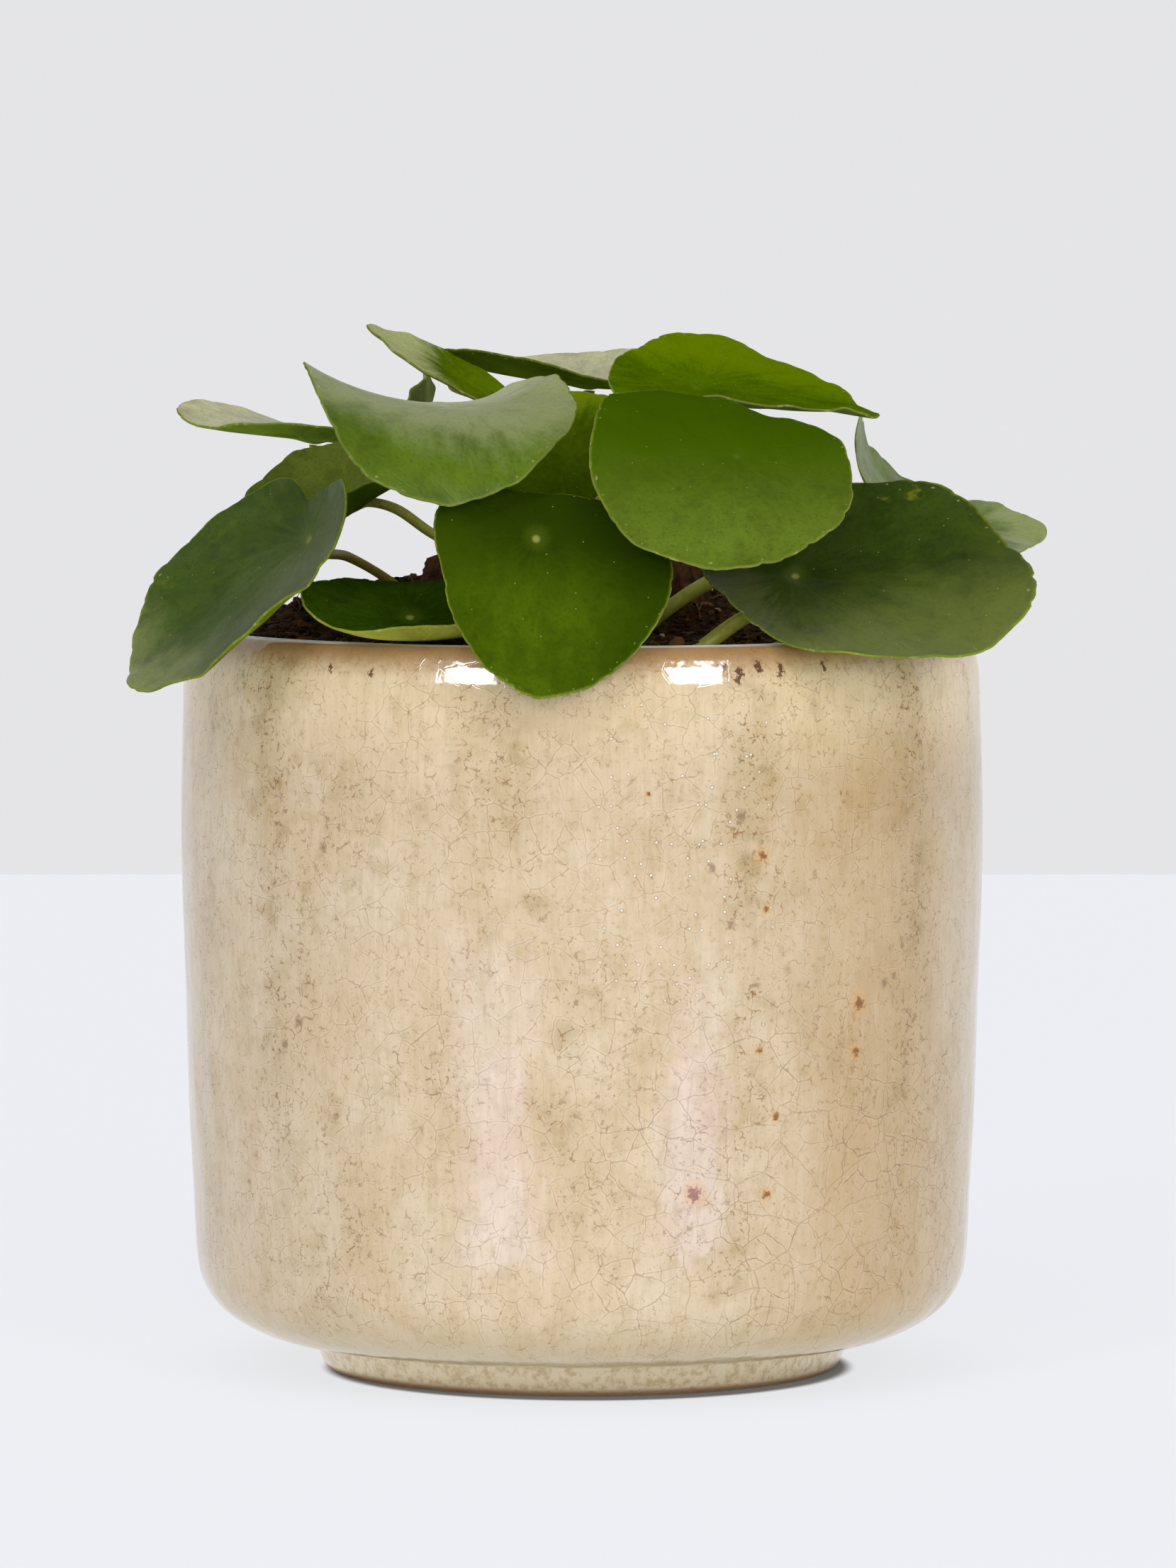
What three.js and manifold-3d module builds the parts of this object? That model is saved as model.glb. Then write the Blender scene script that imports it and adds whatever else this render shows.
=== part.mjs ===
// A glazed pot with a young round-leaved plant in potting soil.
// Millimetres, +Z up, the origin at the middle of the pot's foot, -Y towards the viewer.
import * as THREE from 'three';
import Module from 'manifold-3d';
import { mergeVertices } from 'three/addons/utils/BufferGeometryUtils.js';

const wasm = await Module();
wasm.setup();

// The pot
const POT_HEIGHT = 138;
const POT_BELLY_RADIUS = 75;
const POT_LIP_RADIUS = 71.2;
const POT_WALL = 5.5;
const POT_FLOOR = 9;
const POT_SIDES = 64;
const FOOT_RADIUS = 48.2;
const FOOT_HEIGHT = 5.8;
const FOOT_CHAMFER = 0.8;

// The soil
const SEAT_GAP = 0.3;
const SOIL_EDGE = 136.3;
const SOIL_SIDES = 40;
const SOIL_RINGS = 12;
const LEFT_MOUND = { x: -24, y: 10, wide: 26, deep: 32, high: 10 };
const RIGHT_MOUND = { x: 20, y: 12, wide: 20, deep: 20, high: 7 };
const BACK_MOUND = { x: -47, y: 29, wide: 14, deep: 20, high: 3.4 };
const CLOD_HEIGHT = 0.7;
const HOLE_DEPTH = 9;
const HOLE_GAP = 0.45;
const STEM_GAP = 0.35;

// The woody stems: foot on the soil, top, radius
const STEM_SIDES = 14;
const MAIN_STEM = { x: -6, y: -2, top: 159, radius: 4.4, lean: [1.2, 0.8] };
const RIGHT_STEM = { x: 18.5, y: 8, top: 156, radius: 5.4, lean: [-1.5, 1] };
const LEFT_STUB = { x: -27, y: 2, top: 150.6, radius: 3, lean: [0.6, 0] };

// The blades
const BLADE_THICKNESS = 0.65;
const BLADE_SIDES = 28;
const BLADE_RINGS = [0.1, 0.3, 0.55, 0.8, 1];
const NAVEL_DEPTH = 0.8;
const NAVEL_RADIUS = 3;
const TIP_SPREAD = 0.28;
const NOTCH_DEPTH = 0.03;
const NOTCH_SPREAD = 0.45;
const MARGIN_WAVE = 0.6;
const MARGIN_LOBES = 5;

// The petioles
const PETIOLE_SIDES = 8;
const PETIOLE_STEPS = 9;

// Each leaf: at is the navel, where the petiole joins, size is length and width,
// turn is heading, pitch and roll in degrees, curl is how far the tip, the base,
// the left and the right side have bent up at the edge in degrees. offset moves the
// navel towards the base as a share of the length, side moves the blade across,
// egg widens the base, point draws out the tip, twist turns the tip about the length.
// wave is how far the margin waves. bulge widens the blade round an angle of the margin
// (degrees from the tip, share of the reach, spread in degrees); lift raises the margin
// there (degrees from the tip, millimetres, spread in degrees).
const LEAVES = {
  a: {
    at: [-49.8, -44, 156.3], size: [52.5, 43.5], turn: [183, -43, -35], curl: [8, 50, 46, 8],
    offset: 0.28, side: 0.5, egg: 0.1, start: 0.4,
    bulge: [[134, -0.28, 25], [85, -0.03, 22], [38, -0.1, 18], [320, -0.03, 20],
      [203, -0.16, 11], [170, 0.19, 12], [275, 0.04, 25]],
  },
  b: {
    at: [-31, -49, 142.7], size: [40, 43], turn: [-85, -35, 0], curl: [62, -36, 26, 30],
    offset: 0.05, side: 0.5, wave: 0.15, start: 1.9,
    bulge: [[308, -0.12, 24], [228, -0.1, 22], [38, 0.16, 25]],
  },
  c: {
    at: [-8, -65, 157.3], size: [43, 42], turn: [-101, -60, -18], curl: [8, -12, 12, 5],
    offset: 0.25, side: 3.5, egg: 0.25, start: 0.9,
    bulge: [[234, 0.12, 24], [265, -0.09, 24]],
  },
  d: {
    at: [-22, -46, 180.6], size: [51, 46], turn: [193, 0, -4], curl: [27, 26, -48, -20],
    offset: 0.08, side: 6.5, egg: -0.2, twist: 6, start: 2.6,
    bulge: [[50, 0.25, 30], [200, -0.05, 30]],
    lift: [[222, 1.9, 28]],
  },
  e: {
    at: [28, -56, 172], size: [48, 49.5], turn: [195, 1, -46], curl: [5, 5, 5, -45],
    offset: 0.06, side: 2.8, twist: -8, start: 3.4,
    bulge: [[302, 0.08, 30], [232, -0.15, 26], [42, 0.1, 28]],
  },
  f: {
    at: [38.7, -48, 150], size: [62, 49], turn: [-14, -9, 42], curl: [8, 5, 8, 28],
    offset: 0.2, side: 1, egg: -0.12, start: 1.3,
    bulge: [[222, -0.11, 24], [42, -0.1, 20], [325, 0.03, 18]],
  },
  g: {
    at: [21.7, 12, 182.6], size: [49, 43], turn: [-8, -7, 21], curl: [-3, 5, 5, 30],
    offset: 0.165, egg: 0.2, point: 0.1, twist: -10, start: 4.1,
    bulge: [[26, -0.06, 22], [180, 0.04, 25]],
  },
  h: {
    at: [-23.2, 18, 184.7], size: [30.8, 18.5], turn: [170, 29, -19], curl: [5, 5, 20, 5],
    offset: 0.02, side: 3, point: 0.2, wave: 0.2, start: 5.2,
  },
  i: {
    at: [1.5, 46, 182.3], size: [50, 43], turn: [176, 3, -6], curl: [14, 26, 24, 20],
    offset: 0.1, twist: 12, wave: 0.15, start: 0.2,
  },
  j: {
    at: [-50.5, 36, 172.2], size: [38, 36], turn: [172, 7, -3], curl: [9, 8, 30, -14],
    offset: 0.2, twist: -12, wave: 0.15, start: 2.2,
    bulge: [[40, -0.2, 25]],
  },
  k: {
    at: [-44.8, 3, 162.2], size: [41, 47], turn: [185, -32, -29], curl: [0, 10, 65, -4],
    offset: 0.15, side: 1.5, start: 3.9,
  },
  l: {
    at: [-30.9, 38, 172.5], size: [24, 20], turn: [10, 80, -25], curl: [5, 5, 30, 10],
    point: 0.08, start: 0.7,
  },
  m: {
    at: [-3.5, -11, 169], size: [30, 30], turn: [-90, -45, 0], curl: [10, 10, 10, 10],
    offset: -0.08, start: 1.1,
  },
  o: {
    at: [67.2, 25, 156], size: [46, 36], turn: [-6, -11, 13], curl: [4, 88, 10, 14],
    offset: -0.1, point: 0, twist: 10, start: 4.6,
    bulge: [[16, 0.12, 12]],
  },
};


// Each petiole: where it leaves the main stem (direction in degrees and height) or the
// soil (from), the points it passes, its radius, and the run straight under the blade.
const PETIOLES = {
  a: {
    from: [-24.5, -11, 138], through: [[-35.9, -15, 147.5], [-42.6, -24, 151.9]],
    radius: 0.9, run: 2.5,
  },
  b: { from: [-19, -29, 133.5], through: [[-25, -38, 139.6]], radius: 0.9, run: 1.5 },
  c: { stem: [-95, 150], through: [[-7, -30, 158]], radius: 1, run: 6 },
  d: { stem: [-150, 153.5], through: [[-17, -8.5, 160], [-21, -20, 169]], radius: 1, run: 7 },
  e: { stem: [-50, 149], through: [[5, -20, 152], [12, -34, 157.5]], radius: 1, run: 7 },
  f: { from: [14, -54, 131.5], through: [[29.5, -48, 142]], radius: 1.4, run: 3 },
  g: { stem: [-72, 153], through: [[0, -20, 155], [3, -25, 162], [15, -17, 171.5]], radius: 0.9, run: 6 },
  h: { stem: [120, 156], through: [[-14, 12, 171], [-18, 16.5, 179.3]], radius: 0.8, run: 1.2 },
  i: { stem: [80, 152.5], through: [[-2, 24, 164]], radius: 0.9, run: 8 },
  j: { stem: [150, 153.5], through: [[-19, 13, 161], [-36, 25.5, 166.5]], radius: 0.9, run: 1.5 },
  k: {
    stem: [178, 147.5], through: [[-27.2, 0.8, 154.9], [-34.8, 2, 159.9], [-40, 2.8, 161]],
    radius: 0.95, run: 1.5,
  },
  l: { stem: [112, 149], through: [[-15, 18, 156], [-27, 32, 165]], radius: 0.7, run: 3 },
  m: { stem: [10, 154], through: [[1.8, -2.5, 161]], radius: 0.8, run: 5 },
  o: {
    from: [3, -15.5, 131.5], through: [[15.5, -20, 142], [24, -17, 147.2], [45, -2, 152.5]],
    radius: 1.4, run: 3,
  },
};

function rad(degrees) {
  return degrees * Math.PI / 180;
}

// Arc of length s that has turned by angle at half: how far along and how far up
function bend(s, angle, half) {
  const k = rad(angle) / half;
  if (Math.abs(k) < 1e-9) {
    return [s, 0];
  }
  return [Math.sin(k * s) / k, (1 - Math.cos(k * s)) / k];
}

// The leaf's three directions: towards the tip, to its left, and up from its face
function axesOf(leaf) {
  const [heading, pitch, roll] = leaf.turn.map(rad);
  const along = new THREE.Vector3(
    Math.cos(heading) * Math.cos(pitch),
    Math.sin(heading) * Math.cos(pitch),
    Math.sin(pitch),
  );
  const level = new THREE.Vector3(-Math.sin(heading), Math.cos(heading), 0);
  const above = new THREE.Vector3().crossVectors(along, level);
  const across = level.clone().multiplyScalar(Math.cos(roll)).addScaledVector(above, Math.sin(roll));
  const up = above.clone().multiplyScalar(Math.cos(roll)).addScaledVector(level, -Math.sin(roll));
  return { along, across, up };
}

// How much of each bulge or lift is felt at t, added up
function nearAngles(list, t) {
  let sum = 0;
  for (const [degrees, amount, spread] of list ?? []) {
    const away = ((t - rad(degrees) + 3 * Math.PI) % (2 * Math.PI)) - Math.PI;
    sum += amount * Math.exp(-((away / rad(spread)) ** 2));
  }
  return sum;
}

// A point of the upper face; t goes round the blade, rho from the navel to the margin
function bladePoint(leaf, axes, t, rho) {
  const [length, width] = leaf.size;
  const offset = (leaf.offset ?? 0) * length;
  const fromTip = Math.min(t, 2 * Math.PI - t);
  const reach = 1
    + (leaf.point ?? 0.04) * Math.exp(-((fromTip / TIP_SPREAD) ** 2))
    - NOTCH_DEPTH * Math.exp(-(((t - Math.PI) / NOTCH_SPREAD) ** 2))
    + nearAngles(leaf.bulge, t);
  const u = rho * (offset + length / 2 * Math.cos(t) * reach);
  const broad = width / 2 * Math.sin(t) * (1 - (leaf.egg ?? 0) * Math.cos(t)) * reach;
  const v = rho * ((leaf.side ?? 0) + broad);
  const [tip, base, left, right] = leaf.curl;
  const alongReach = u > 0 ? length / 2 + offset : length / 2 - offset;
  const [alongArc, alongRise] = bend(Math.abs(u), u > 0 ? tip : base, alongReach);
  const [acrossArc, acrossRise] = bend(Math.abs(v), v > 0 ? left : right, width / 2);
  const x = Math.sign(u) * alongArc;
  const y = Math.sign(v) * acrossArc;
  const rise = alongRise + acrossRise;
  const twist = rad(leaf.twist ?? 0) * u / (length / 2);
  const yTurned = y * Math.cos(twist) - rise * Math.sin(twist);
  const ripple = (leaf.wave ?? MARGIN_WAVE) * Math.sin(MARGIN_LOBES * t + leaf.start);
  const wave = rho ** 3 * (ripple + nearAngles(leaf.lift, t));
  const dimple = NAVEL_DEPTH * Math.exp(-((rho * length / 2 / NAVEL_RADIUS) ** 2));
  const zTurned = y * Math.sin(twist) + rise * Math.cos(twist) + wave - dimple;
  return new THREE.Vector3(...leaf.at)
    .addScaledVector(axes.along, x)
    .addScaledVector(axes.across, yTurned)
    .addScaledVector(axes.up, zTurned);
}

// Both faces of a blade have the same triangles, a blade's thickness apart
function bladeGeometry(leaf) {
  const axes = axesOf(leaf);
  const n = BLADE_SIDES;
  const upper = [bladePoint(leaf, axes, 0, 0)];
  for (const rho of BLADE_RINGS) {
    for (let j = 0; j < n; j++) {
      upper.push(bladePoint(leaf, axes, 2 * Math.PI * j / n, rho));
    }
  }
  const faces = [];
  for (let j = 0; j < n; j++) {
    faces.push([0, 1 + j, 1 + (j + 1) % n]);
  }
  for (let i = 0; i < BLADE_RINGS.length - 1; i++) {
    for (let j = 0; j < n; j++) {
      const a = 1 + i * n + j;
      const b = 1 + i * n + (j + 1) % n;
      faces.push([a, a + n, b + n]);
      faces.push([a, b + n, b]);
    }
  }
  const normals = upper.map(() => new THREE.Vector3());
  for (const [a, b, c] of faces) {
    const side1 = upper[b].clone().sub(upper[a]);
    const side2 = upper[c].clone().sub(upper[a]);
    const normal = side1.cross(side2);
    normals[a].add(normal);
    normals[b].add(normal);
    normals[c].add(normal);
  }
  const lower = upper.map((p, k) => p.clone().addScaledVector(normals[k].normalize(), -BLADE_THICKNESS));
  const count = upper.length;
  const points = [...upper, ...lower];
  const index = faces.flat();
  for (const [a, b, c] of faces) {
    index.push(count + a, count + c, count + b);
  }
  const rim = count - n;
  for (let j = 0; j < n; j++) {
    const a = rim + j;
    const b = rim + (j + 1) % n;
    index.push(a, a + count, b + count);
    index.push(a, b + count, b);
  }
  return indexed(points, index);
}

function indexed(points, index) {
  const geometry = new THREE.BufferGeometry();
  const numbers = points.flatMap((p) => [p.x, p.y, p.z]);
  geometry.setAttribute('position', new THREE.Float32BufferAttribute(numbers, 3));
  geometry.setIndex(index);
  geometry.computeVertexNormals();
  return geometry;
}

// Height of the soil's top
function soilHeight(x, y) {
  let height = SOIL_EDGE;
  for (const mound of [LEFT_MOUND, RIGHT_MOUND, BACK_MOUND]) {
    const near = ((x - mound.x) / mound.wide) ** 2 + ((y - mound.y) / mound.deep) ** 2;
    height += mound.high * Math.exp(-near);
  }
  const clods = Math.sin(0.31 * x + 0.8) * Math.cos(0.27 * y) + Math.sin(0.55 * x - 0.43 * y);
  return height + CLOD_HEIGHT * clods * 0.5;
}

// The pot's inner radius at a height
function innerRadius(z) {
  const profile = outerProfile().filter(([, height]) => height > FOOT_HEIGHT);
  for (let i = 1; i < profile.length; i++) {
    const [r0, z0] = profile[i - 1];
    const [r1, z1] = profile[i];
    if (z <= z1) {
      return r0 + (r1 - r0) * Math.max(0, z - z0) / (z1 - z0) - POT_WALL;
    }
  }
  return POT_LIP_RADIUS - POT_WALL;
}

// The outside of the pot from the foot to the shoulder
function outerProfile() {
  const r = POT_BELLY_RADIUS;
  return [
    [FOOT_RADIUS - FOOT_CHAMFER, 0],
    [FOOT_RADIUS, FOOT_CHAMFER],
    [FOOT_RADIUS + 1.6, FOOT_HEIGHT - 1],
    [FOOT_RADIUS + 2.2, FOOT_HEIGHT],
    [r - 17, FOOT_HEIGHT + 0.8],
    [r - 11.5, FOOT_HEIGHT + 3],
    [r - 7, FOOT_HEIGHT + 6.3],
    [r - 4.2, FOOT_HEIGHT + 10.5],
    [r - 3, FOOT_HEIGHT + 16],
    [r - 2.3, 34],
    [r - 1.5, 48],
    [r - 0.8, 69],
    [r - 0.1, 90],
    [r, 101],
    [r - 0.2, 113],
    [r - 0.5, 122],
    [r - 0.75, 128],
    [r - 1.15, 131.2],
  ];
}

function potGeometry() {
  const lip = [
    [POT_LIP_RADIUS + 1.7, POT_HEIGHT - 3.5],
    [POT_LIP_RADIUS + 0.9, POT_HEIGHT - 1.5],
    [POT_LIP_RADIUS - 0.2, POT_HEIGHT - 0.35],
    [POT_LIP_RADIUS - 1.6, POT_HEIGHT],
    [POT_LIP_RADIUS - 3, POT_HEIGHT - 0.8],
    [POT_LIP_RADIUS - 3.8, POT_HEIGHT - 3],
  ];
  const inside = [118, 96, 60, 28, 18].map((z) => [innerRadius(z), z]);
  const floor = [[innerRadius(14) - 1.5, POT_FLOOR + 3], [innerRadius(12) - 6, POT_FLOOR], [0, POT_FLOOR]];
  const profile = [[0, 0], ...outerProfile(), ...lip, ...inside, ...floor];
  const geometry = new THREE.LatheGeometry(profile.map(([r, z]) => new THREE.Vector2(r, z)), POT_SIDES);
  geometry.rotateX(Math.PI / 2);
  return geometry;
}

// The soil fills the pot; its side stands a seat gap off the inner wall
function soilGeometry() {
  const walls = [
    [innerRadius(12) - 6.6, POT_FLOOR + SEAT_GAP],
    [innerRadius(14) - 2.2, POT_FLOOR + 3.4],
    [innerRadius(18) - SEAT_GAP, 18.2],
    [innerRadius(28) - SEAT_GAP, 28],
    [innerRadius(60) - SEAT_GAP, 60],
    [innerRadius(96) - SEAT_GAP, 96],
    [innerRadius(118) - SEAT_GAP, 118],
  ];
  const edge = POT_LIP_RADIUS - 3.8 - SEAT_GAP;
  const n = SOIL_SIDES;
  const points = [new THREE.Vector3(0, 0, walls[0][1])];
  const ring = (r, heightAt) => {
    for (let j = 0; j < n; j++) {
      const x = r * Math.cos(2 * Math.PI * j / n);
      const y = r * Math.sin(2 * Math.PI * j / n);
      points.push(new THREE.Vector3(x, y, heightAt(x, y)));
    }
  };
  for (const [r, z] of walls) {
    ring(r, () => z);
  }
  ring(edge, () => SOIL_EDGE - 1.8);
  for (let i = SOIL_RINGS; i > 0; i--) {
    ring((edge - 0.5) * i / SOIL_RINGS, soilHeight);
  }
  points.push(new THREE.Vector3(0, 0, soilHeight(0, 0)));
  const index = [];
  for (let j = 0; j < n; j++) {
    index.push(0, 1 + (j + 1) % n, 1 + j);
  }
  const rings = (points.length - 2) / n;
  for (let i = 0; i < rings - 1; i++) {
    for (let j = 0; j < n; j++) {
      const a = 1 + i * n + j;
      const b = 1 + i * n + (j + 1) % n;
      index.push(a, b, b + n);
      index.push(a, b + n, a + n);
    }
  }
  const top = points.length - 1;
  for (let j = 0; j < n; j++) {
    index.push(top, top - n + j, top - n + (j + 1) % n);
  }
  return indexed(points, index);
}

// A woody stem: rings of a slightly uneven radius up a leaning line
function stemGeometry(stem) {
  const foot = soilHeight(stem.x, stem.y) - HOLE_DEPTH + SEAT_GAP;
  const levels = [0, 0.35, 0.6, 0.82, 1];
  const swell = [1, 1, 1.03, 0.93, 0.72];
  const n = STEM_SIDES;
  const points = [new THREE.Vector3(stem.x, stem.y, foot)];
  levels.forEach((level, i) => {
    const z = foot + (stem.top - foot) * level;
    const above = Math.max(0, z - soilHeight(stem.x, stem.y)) / 10;
    for (let j = 0; j < n; j++) {
      const r = stem.radius * Math.min(1, swell[i]);
      const x = stem.x + stem.lean[0] * above + r * Math.cos(2 * Math.PI * j / n);
      const y = stem.y + stem.lean[1] * above + r * Math.sin(2 * Math.PI * j / n);
      points.push(new THREE.Vector3(x, y, z));
    }
  });
  const rise = Math.max(0, stem.top - soilHeight(stem.x, stem.y)) / 10;
  const tipX = stem.x + stem.lean[0] * rise;
  const tipY = stem.y + stem.lean[1] * rise;
  points.push(new THREE.Vector3(tipX, tipY, stem.top + 0.8));
  const index = [];
  for (let j = 0; j < n; j++) {
    index.push(0, 1 + (j + 1) % n, 1 + j);
  }
  for (let i = 0; i < levels.length - 1; i++) {
    for (let j = 0; j < n; j++) {
      const a = 1 + i * n + j;
      const b = 1 + i * n + (j + 1) % n;
      index.push(a, b, b + n);
      index.push(a, b + n, a + n);
    }
  }
  const top = points.length - 1;
  for (let j = 0; j < n; j++) {
    index.push(top, top - n + j, top - n + (j + 1) % n);
  }
  return indexed(points, index);
}

// Where a petiole runs: from the main stem or the soil to just under the navel
function petiolePath(petiole, leaf) {
  const { up } = axesOf(leaf);
  const end = new THREE.Vector3(...leaf.at).addScaledVector(up, -NAVEL_DEPTH - BLADE_THICKNESS - SEAT_GAP);
  const before = end.clone().addScaledVector(up, -petiole.run);
  const points = [];
  if (petiole.stem) {
    const [direction, z] = petiole.stem;
    const out = new THREE.Vector3(Math.cos(rad(direction)), Math.sin(rad(direction)), 0);
    const above = Math.max(0, z - soilHeight(MAIN_STEM.x, MAIN_STEM.y)) / 10;
    const centre = new THREE.Vector3(
      MAIN_STEM.x + MAIN_STEM.lean[0] * above,
      MAIN_STEM.y + MAIN_STEM.lean[1] * above,
      z,
    );
    const start = centre.clone().addScaledVector(out, MAIN_STEM.radius + STEM_GAP);
    points.push(start, start.clone().addScaledVector(out, 1.5));
  } else {
    const foot = new THREE.Vector3(...petiole.from);
    points.push(foot, foot.clone().lerp(new THREE.Vector3(...petiole.through[0]), 0.55));
  }
  points.push(...petiole.through.map((p) => new THREE.Vector3(...p)), before, end);
  return new THREE.CatmullRomCurve3(points, false, 'centripetal');
}

function petioleGeometry(petiole, leaf) {
  const section = new THREE.Shape();
  for (let k = 0; k < PETIOLE_SIDES; k++) {
    const angle = 2 * Math.PI * k / PETIOLE_SIDES;
    const x = petiole.radius * Math.cos(angle);
    const y = petiole.radius * Math.sin(angle);
    if (k === 0) {
      section.moveTo(x, y);
    } else {
      section.lineTo(x, y);
    }
  }
  section.closePath();
  const extrudePath = petiolePath(petiole, leaf);
  return new THREE.ExtrudeGeometry(section, { steps: PETIOLE_STEPS, extrudePath, bevelEnabled: false });
}

// A straight hole a seat gap wider than what stands in it
function holeGeometry(foot, direction, radius) {
  const length = 60;
  const geometry = new THREE.CylinderGeometry(radius + HOLE_GAP, radius + HOLE_GAP, length, 16);
  geometry.translate(0, length / 2, 0);
  const upright = new THREE.Vector3(0, 1, 0);
  geometry.applyQuaternion(new THREE.Quaternion().setFromUnitVectors(upright, direction));
  const start = foot.clone().addScaledVector(direction, -SEAT_GAP);
  geometry.translate(start.x, start.y, start.z);
  return geometry;
}

function solid(geometry) {
  const plain = geometry.clone();
  plain.deleteAttribute('normal');
  plain.deleteAttribute('uv');
  const merged = mergeVertices(plain, 1e-4);
  return new wasm.Manifold(new wasm.Mesh({
    numProp: 3,
    vertProperties: new Float32Array(merged.attributes.position.array),
    triVerts: new Uint32Array(merged.index.array),
  }));
}

function fromSolid(manifold) {
  const mesh = manifold.getMesh();
  const geometry = new THREE.BufferGeometry();
  geometry.setAttribute('position', new THREE.BufferAttribute(new Float32Array(mesh.vertProperties), 3));
  geometry.setIndex(new THREE.BufferAttribute(new Uint32Array(mesh.triVerts), 1));
  geometry.computeVertexNormals();
  return geometry;
}

function drilledSoil() {
  let soil = solid(soilGeometry());
  for (const stem of [MAIN_STEM, RIGHT_STEM, LEFT_STUB]) {
    const foot = new THREE.Vector3(stem.x, stem.y, soilHeight(stem.x, stem.y) - HOLE_DEPTH + SEAT_GAP);
    soil = soil.subtract(solid(holeGeometry(foot, new THREE.Vector3(0, 0, 1), stem.radius)));
  }
  for (const [name, petiole] of Object.entries(PETIOLES)) {
    if (petiole.from) {
      const path = petiolePath(petiole, LEAVES[name]);
      const foot = path.getPoint(0);
      const direction = new THREE.Vector3(...petiole.through[0]).sub(foot).normalize();
      soil = soil.subtract(solid(holeGeometry(foot, direction, petiole.radius)));
    }
  }
  return fromSolid(soil);
}

function glaze() {
  return new THREE.MeshStandardMaterial({ color: 0xd2bd96, roughness: 0.2, metalness: 0 });
}

function pottingSoil() {
  return new THREE.MeshStandardMaterial({ color: 0x22160d, roughness: 0.95, metalness: 0 });
}

function bark() {
  return new THREE.MeshStandardMaterial({ color: 0x5e3a26, roughness: 0.85, metalness: 0 });
}

function leafGreen(tone) {
  const tones = { dark: 0x2b4a12, mid: 0x3f6512, bright: 0x4f7d10 };
  return new THREE.MeshStandardMaterial({ color: tones[tone], roughness: 0.35, metalness: 0 });
}

function petioleGreen() {
  return new THREE.MeshStandardMaterial({ color: 0x6b6a1e, roughness: 0.45, metalness: 0 });
}

const LEAF_TONES = {
  a: 'dark', b: 'dark', c: 'dark', d: 'mid', e: 'mid', f: 'dark', g: 'bright',
  h: 'bright', i: 'mid', j: 'mid', k: 'dark', l: 'mid', m: 'mid', o: 'mid',
};

const group = new THREE.Group();

function add(name, geometry, material) {
  const mesh = new THREE.Mesh(geometry, material);
  mesh.name = name;
  group.add(mesh);
}

add('pot', potGeometry(), glaze());
add('soil', drilledSoil(), pottingSoil());
add('stem_main', stemGeometry(MAIN_STEM), bark());
add('stem_right', stemGeometry(RIGHT_STEM), bark());
add('stem_stub_left', stemGeometry(LEFT_STUB), bark());
for (const [name, leaf] of Object.entries(LEAVES)) {
  add('leaf_' + name, bladeGeometry(leaf), leafGreen(LEAF_TONES[name]));
}
for (const [name, petiole] of Object.entries(PETIOLES)) {
  add('petiole_' + name, petioleGeometry(petiole, LEAVES[name]), petioleGreen());
}

export default group;
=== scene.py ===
import math
import random

import bpy
import numpy as np
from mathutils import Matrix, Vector, noise


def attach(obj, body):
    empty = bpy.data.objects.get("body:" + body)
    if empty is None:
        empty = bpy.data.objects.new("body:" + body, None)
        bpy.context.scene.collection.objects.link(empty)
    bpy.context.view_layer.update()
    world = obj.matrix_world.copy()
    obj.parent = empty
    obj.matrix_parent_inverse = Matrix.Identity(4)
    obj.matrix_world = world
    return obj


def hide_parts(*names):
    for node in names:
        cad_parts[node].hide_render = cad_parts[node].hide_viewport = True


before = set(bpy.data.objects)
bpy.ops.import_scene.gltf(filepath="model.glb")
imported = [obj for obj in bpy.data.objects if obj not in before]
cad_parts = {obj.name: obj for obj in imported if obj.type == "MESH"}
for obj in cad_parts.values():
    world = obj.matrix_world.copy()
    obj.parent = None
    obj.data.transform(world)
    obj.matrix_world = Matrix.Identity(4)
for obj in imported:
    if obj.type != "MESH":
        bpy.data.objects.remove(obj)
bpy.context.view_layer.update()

MM = 0.001

# The photograph's height in pixels, and the camera that took it
PHOTO_HEIGHT = 2212
FOCAL_PX = 13277
CAMERA_AT = (1.2, -1750, 227)
CAMERA_PITCH = 3.871

# The pot, in millimetres
POT_HEIGHT = 138
POT_BELLY_RADIUS = 75
POT_LIP_RADIUS = 71.2
POT_WALL = 5.5
FOOT_RADIUS = 48.2
FOOT_HEIGHT = 5.8

# The soil
SOIL_EDGE = 136.3
LEFT_MOUND = dict(x=-24, y=10, wide=26, deep=32, high=10)
RIGHT_MOUND = dict(x=20, y=12, wide=20, deep=20, high=7)
BACK_MOUND = dict(x=-47, y=29, wide=14, deep=20, high=3.4)
CLOD_HEIGHT = 0.7
HOLE_DEPTH = 9
SOIL_GAP = 0.3

# What lies loose on the soil
CRUMBS = 4200
PALE_CRUMBS = 30
FIBRES = 420
FIBRE_POINTS = 7
FIBRE_SIDES = 5

# The woody stems
MAIN_STEM = dict(x=-6, y=-2, top=159, radius=4.4, lean=(1.2, 0.8))
RIGHT_STEM = dict(x=18.5, y=8, top=156, radius=5.4, lean=(-1.5, 1))
LEFT_STUB = dict(x=-27, y=2, top=150.6, radius=3, lean=(0.6, 0))

# The blades
BLADE_THICKNESS = 0.65
NAVEL_DEPTH = 0.8
NAVEL_RADIUS = 3
TIP_SPREAD = 0.28
NOTCH_DEPTH = 0.03
NOTCH_SPREAD = 0.45
MARGIN_WAVE = 0.6
MARGIN_LOBES = 5
STEM_GAP = 0.35

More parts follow.
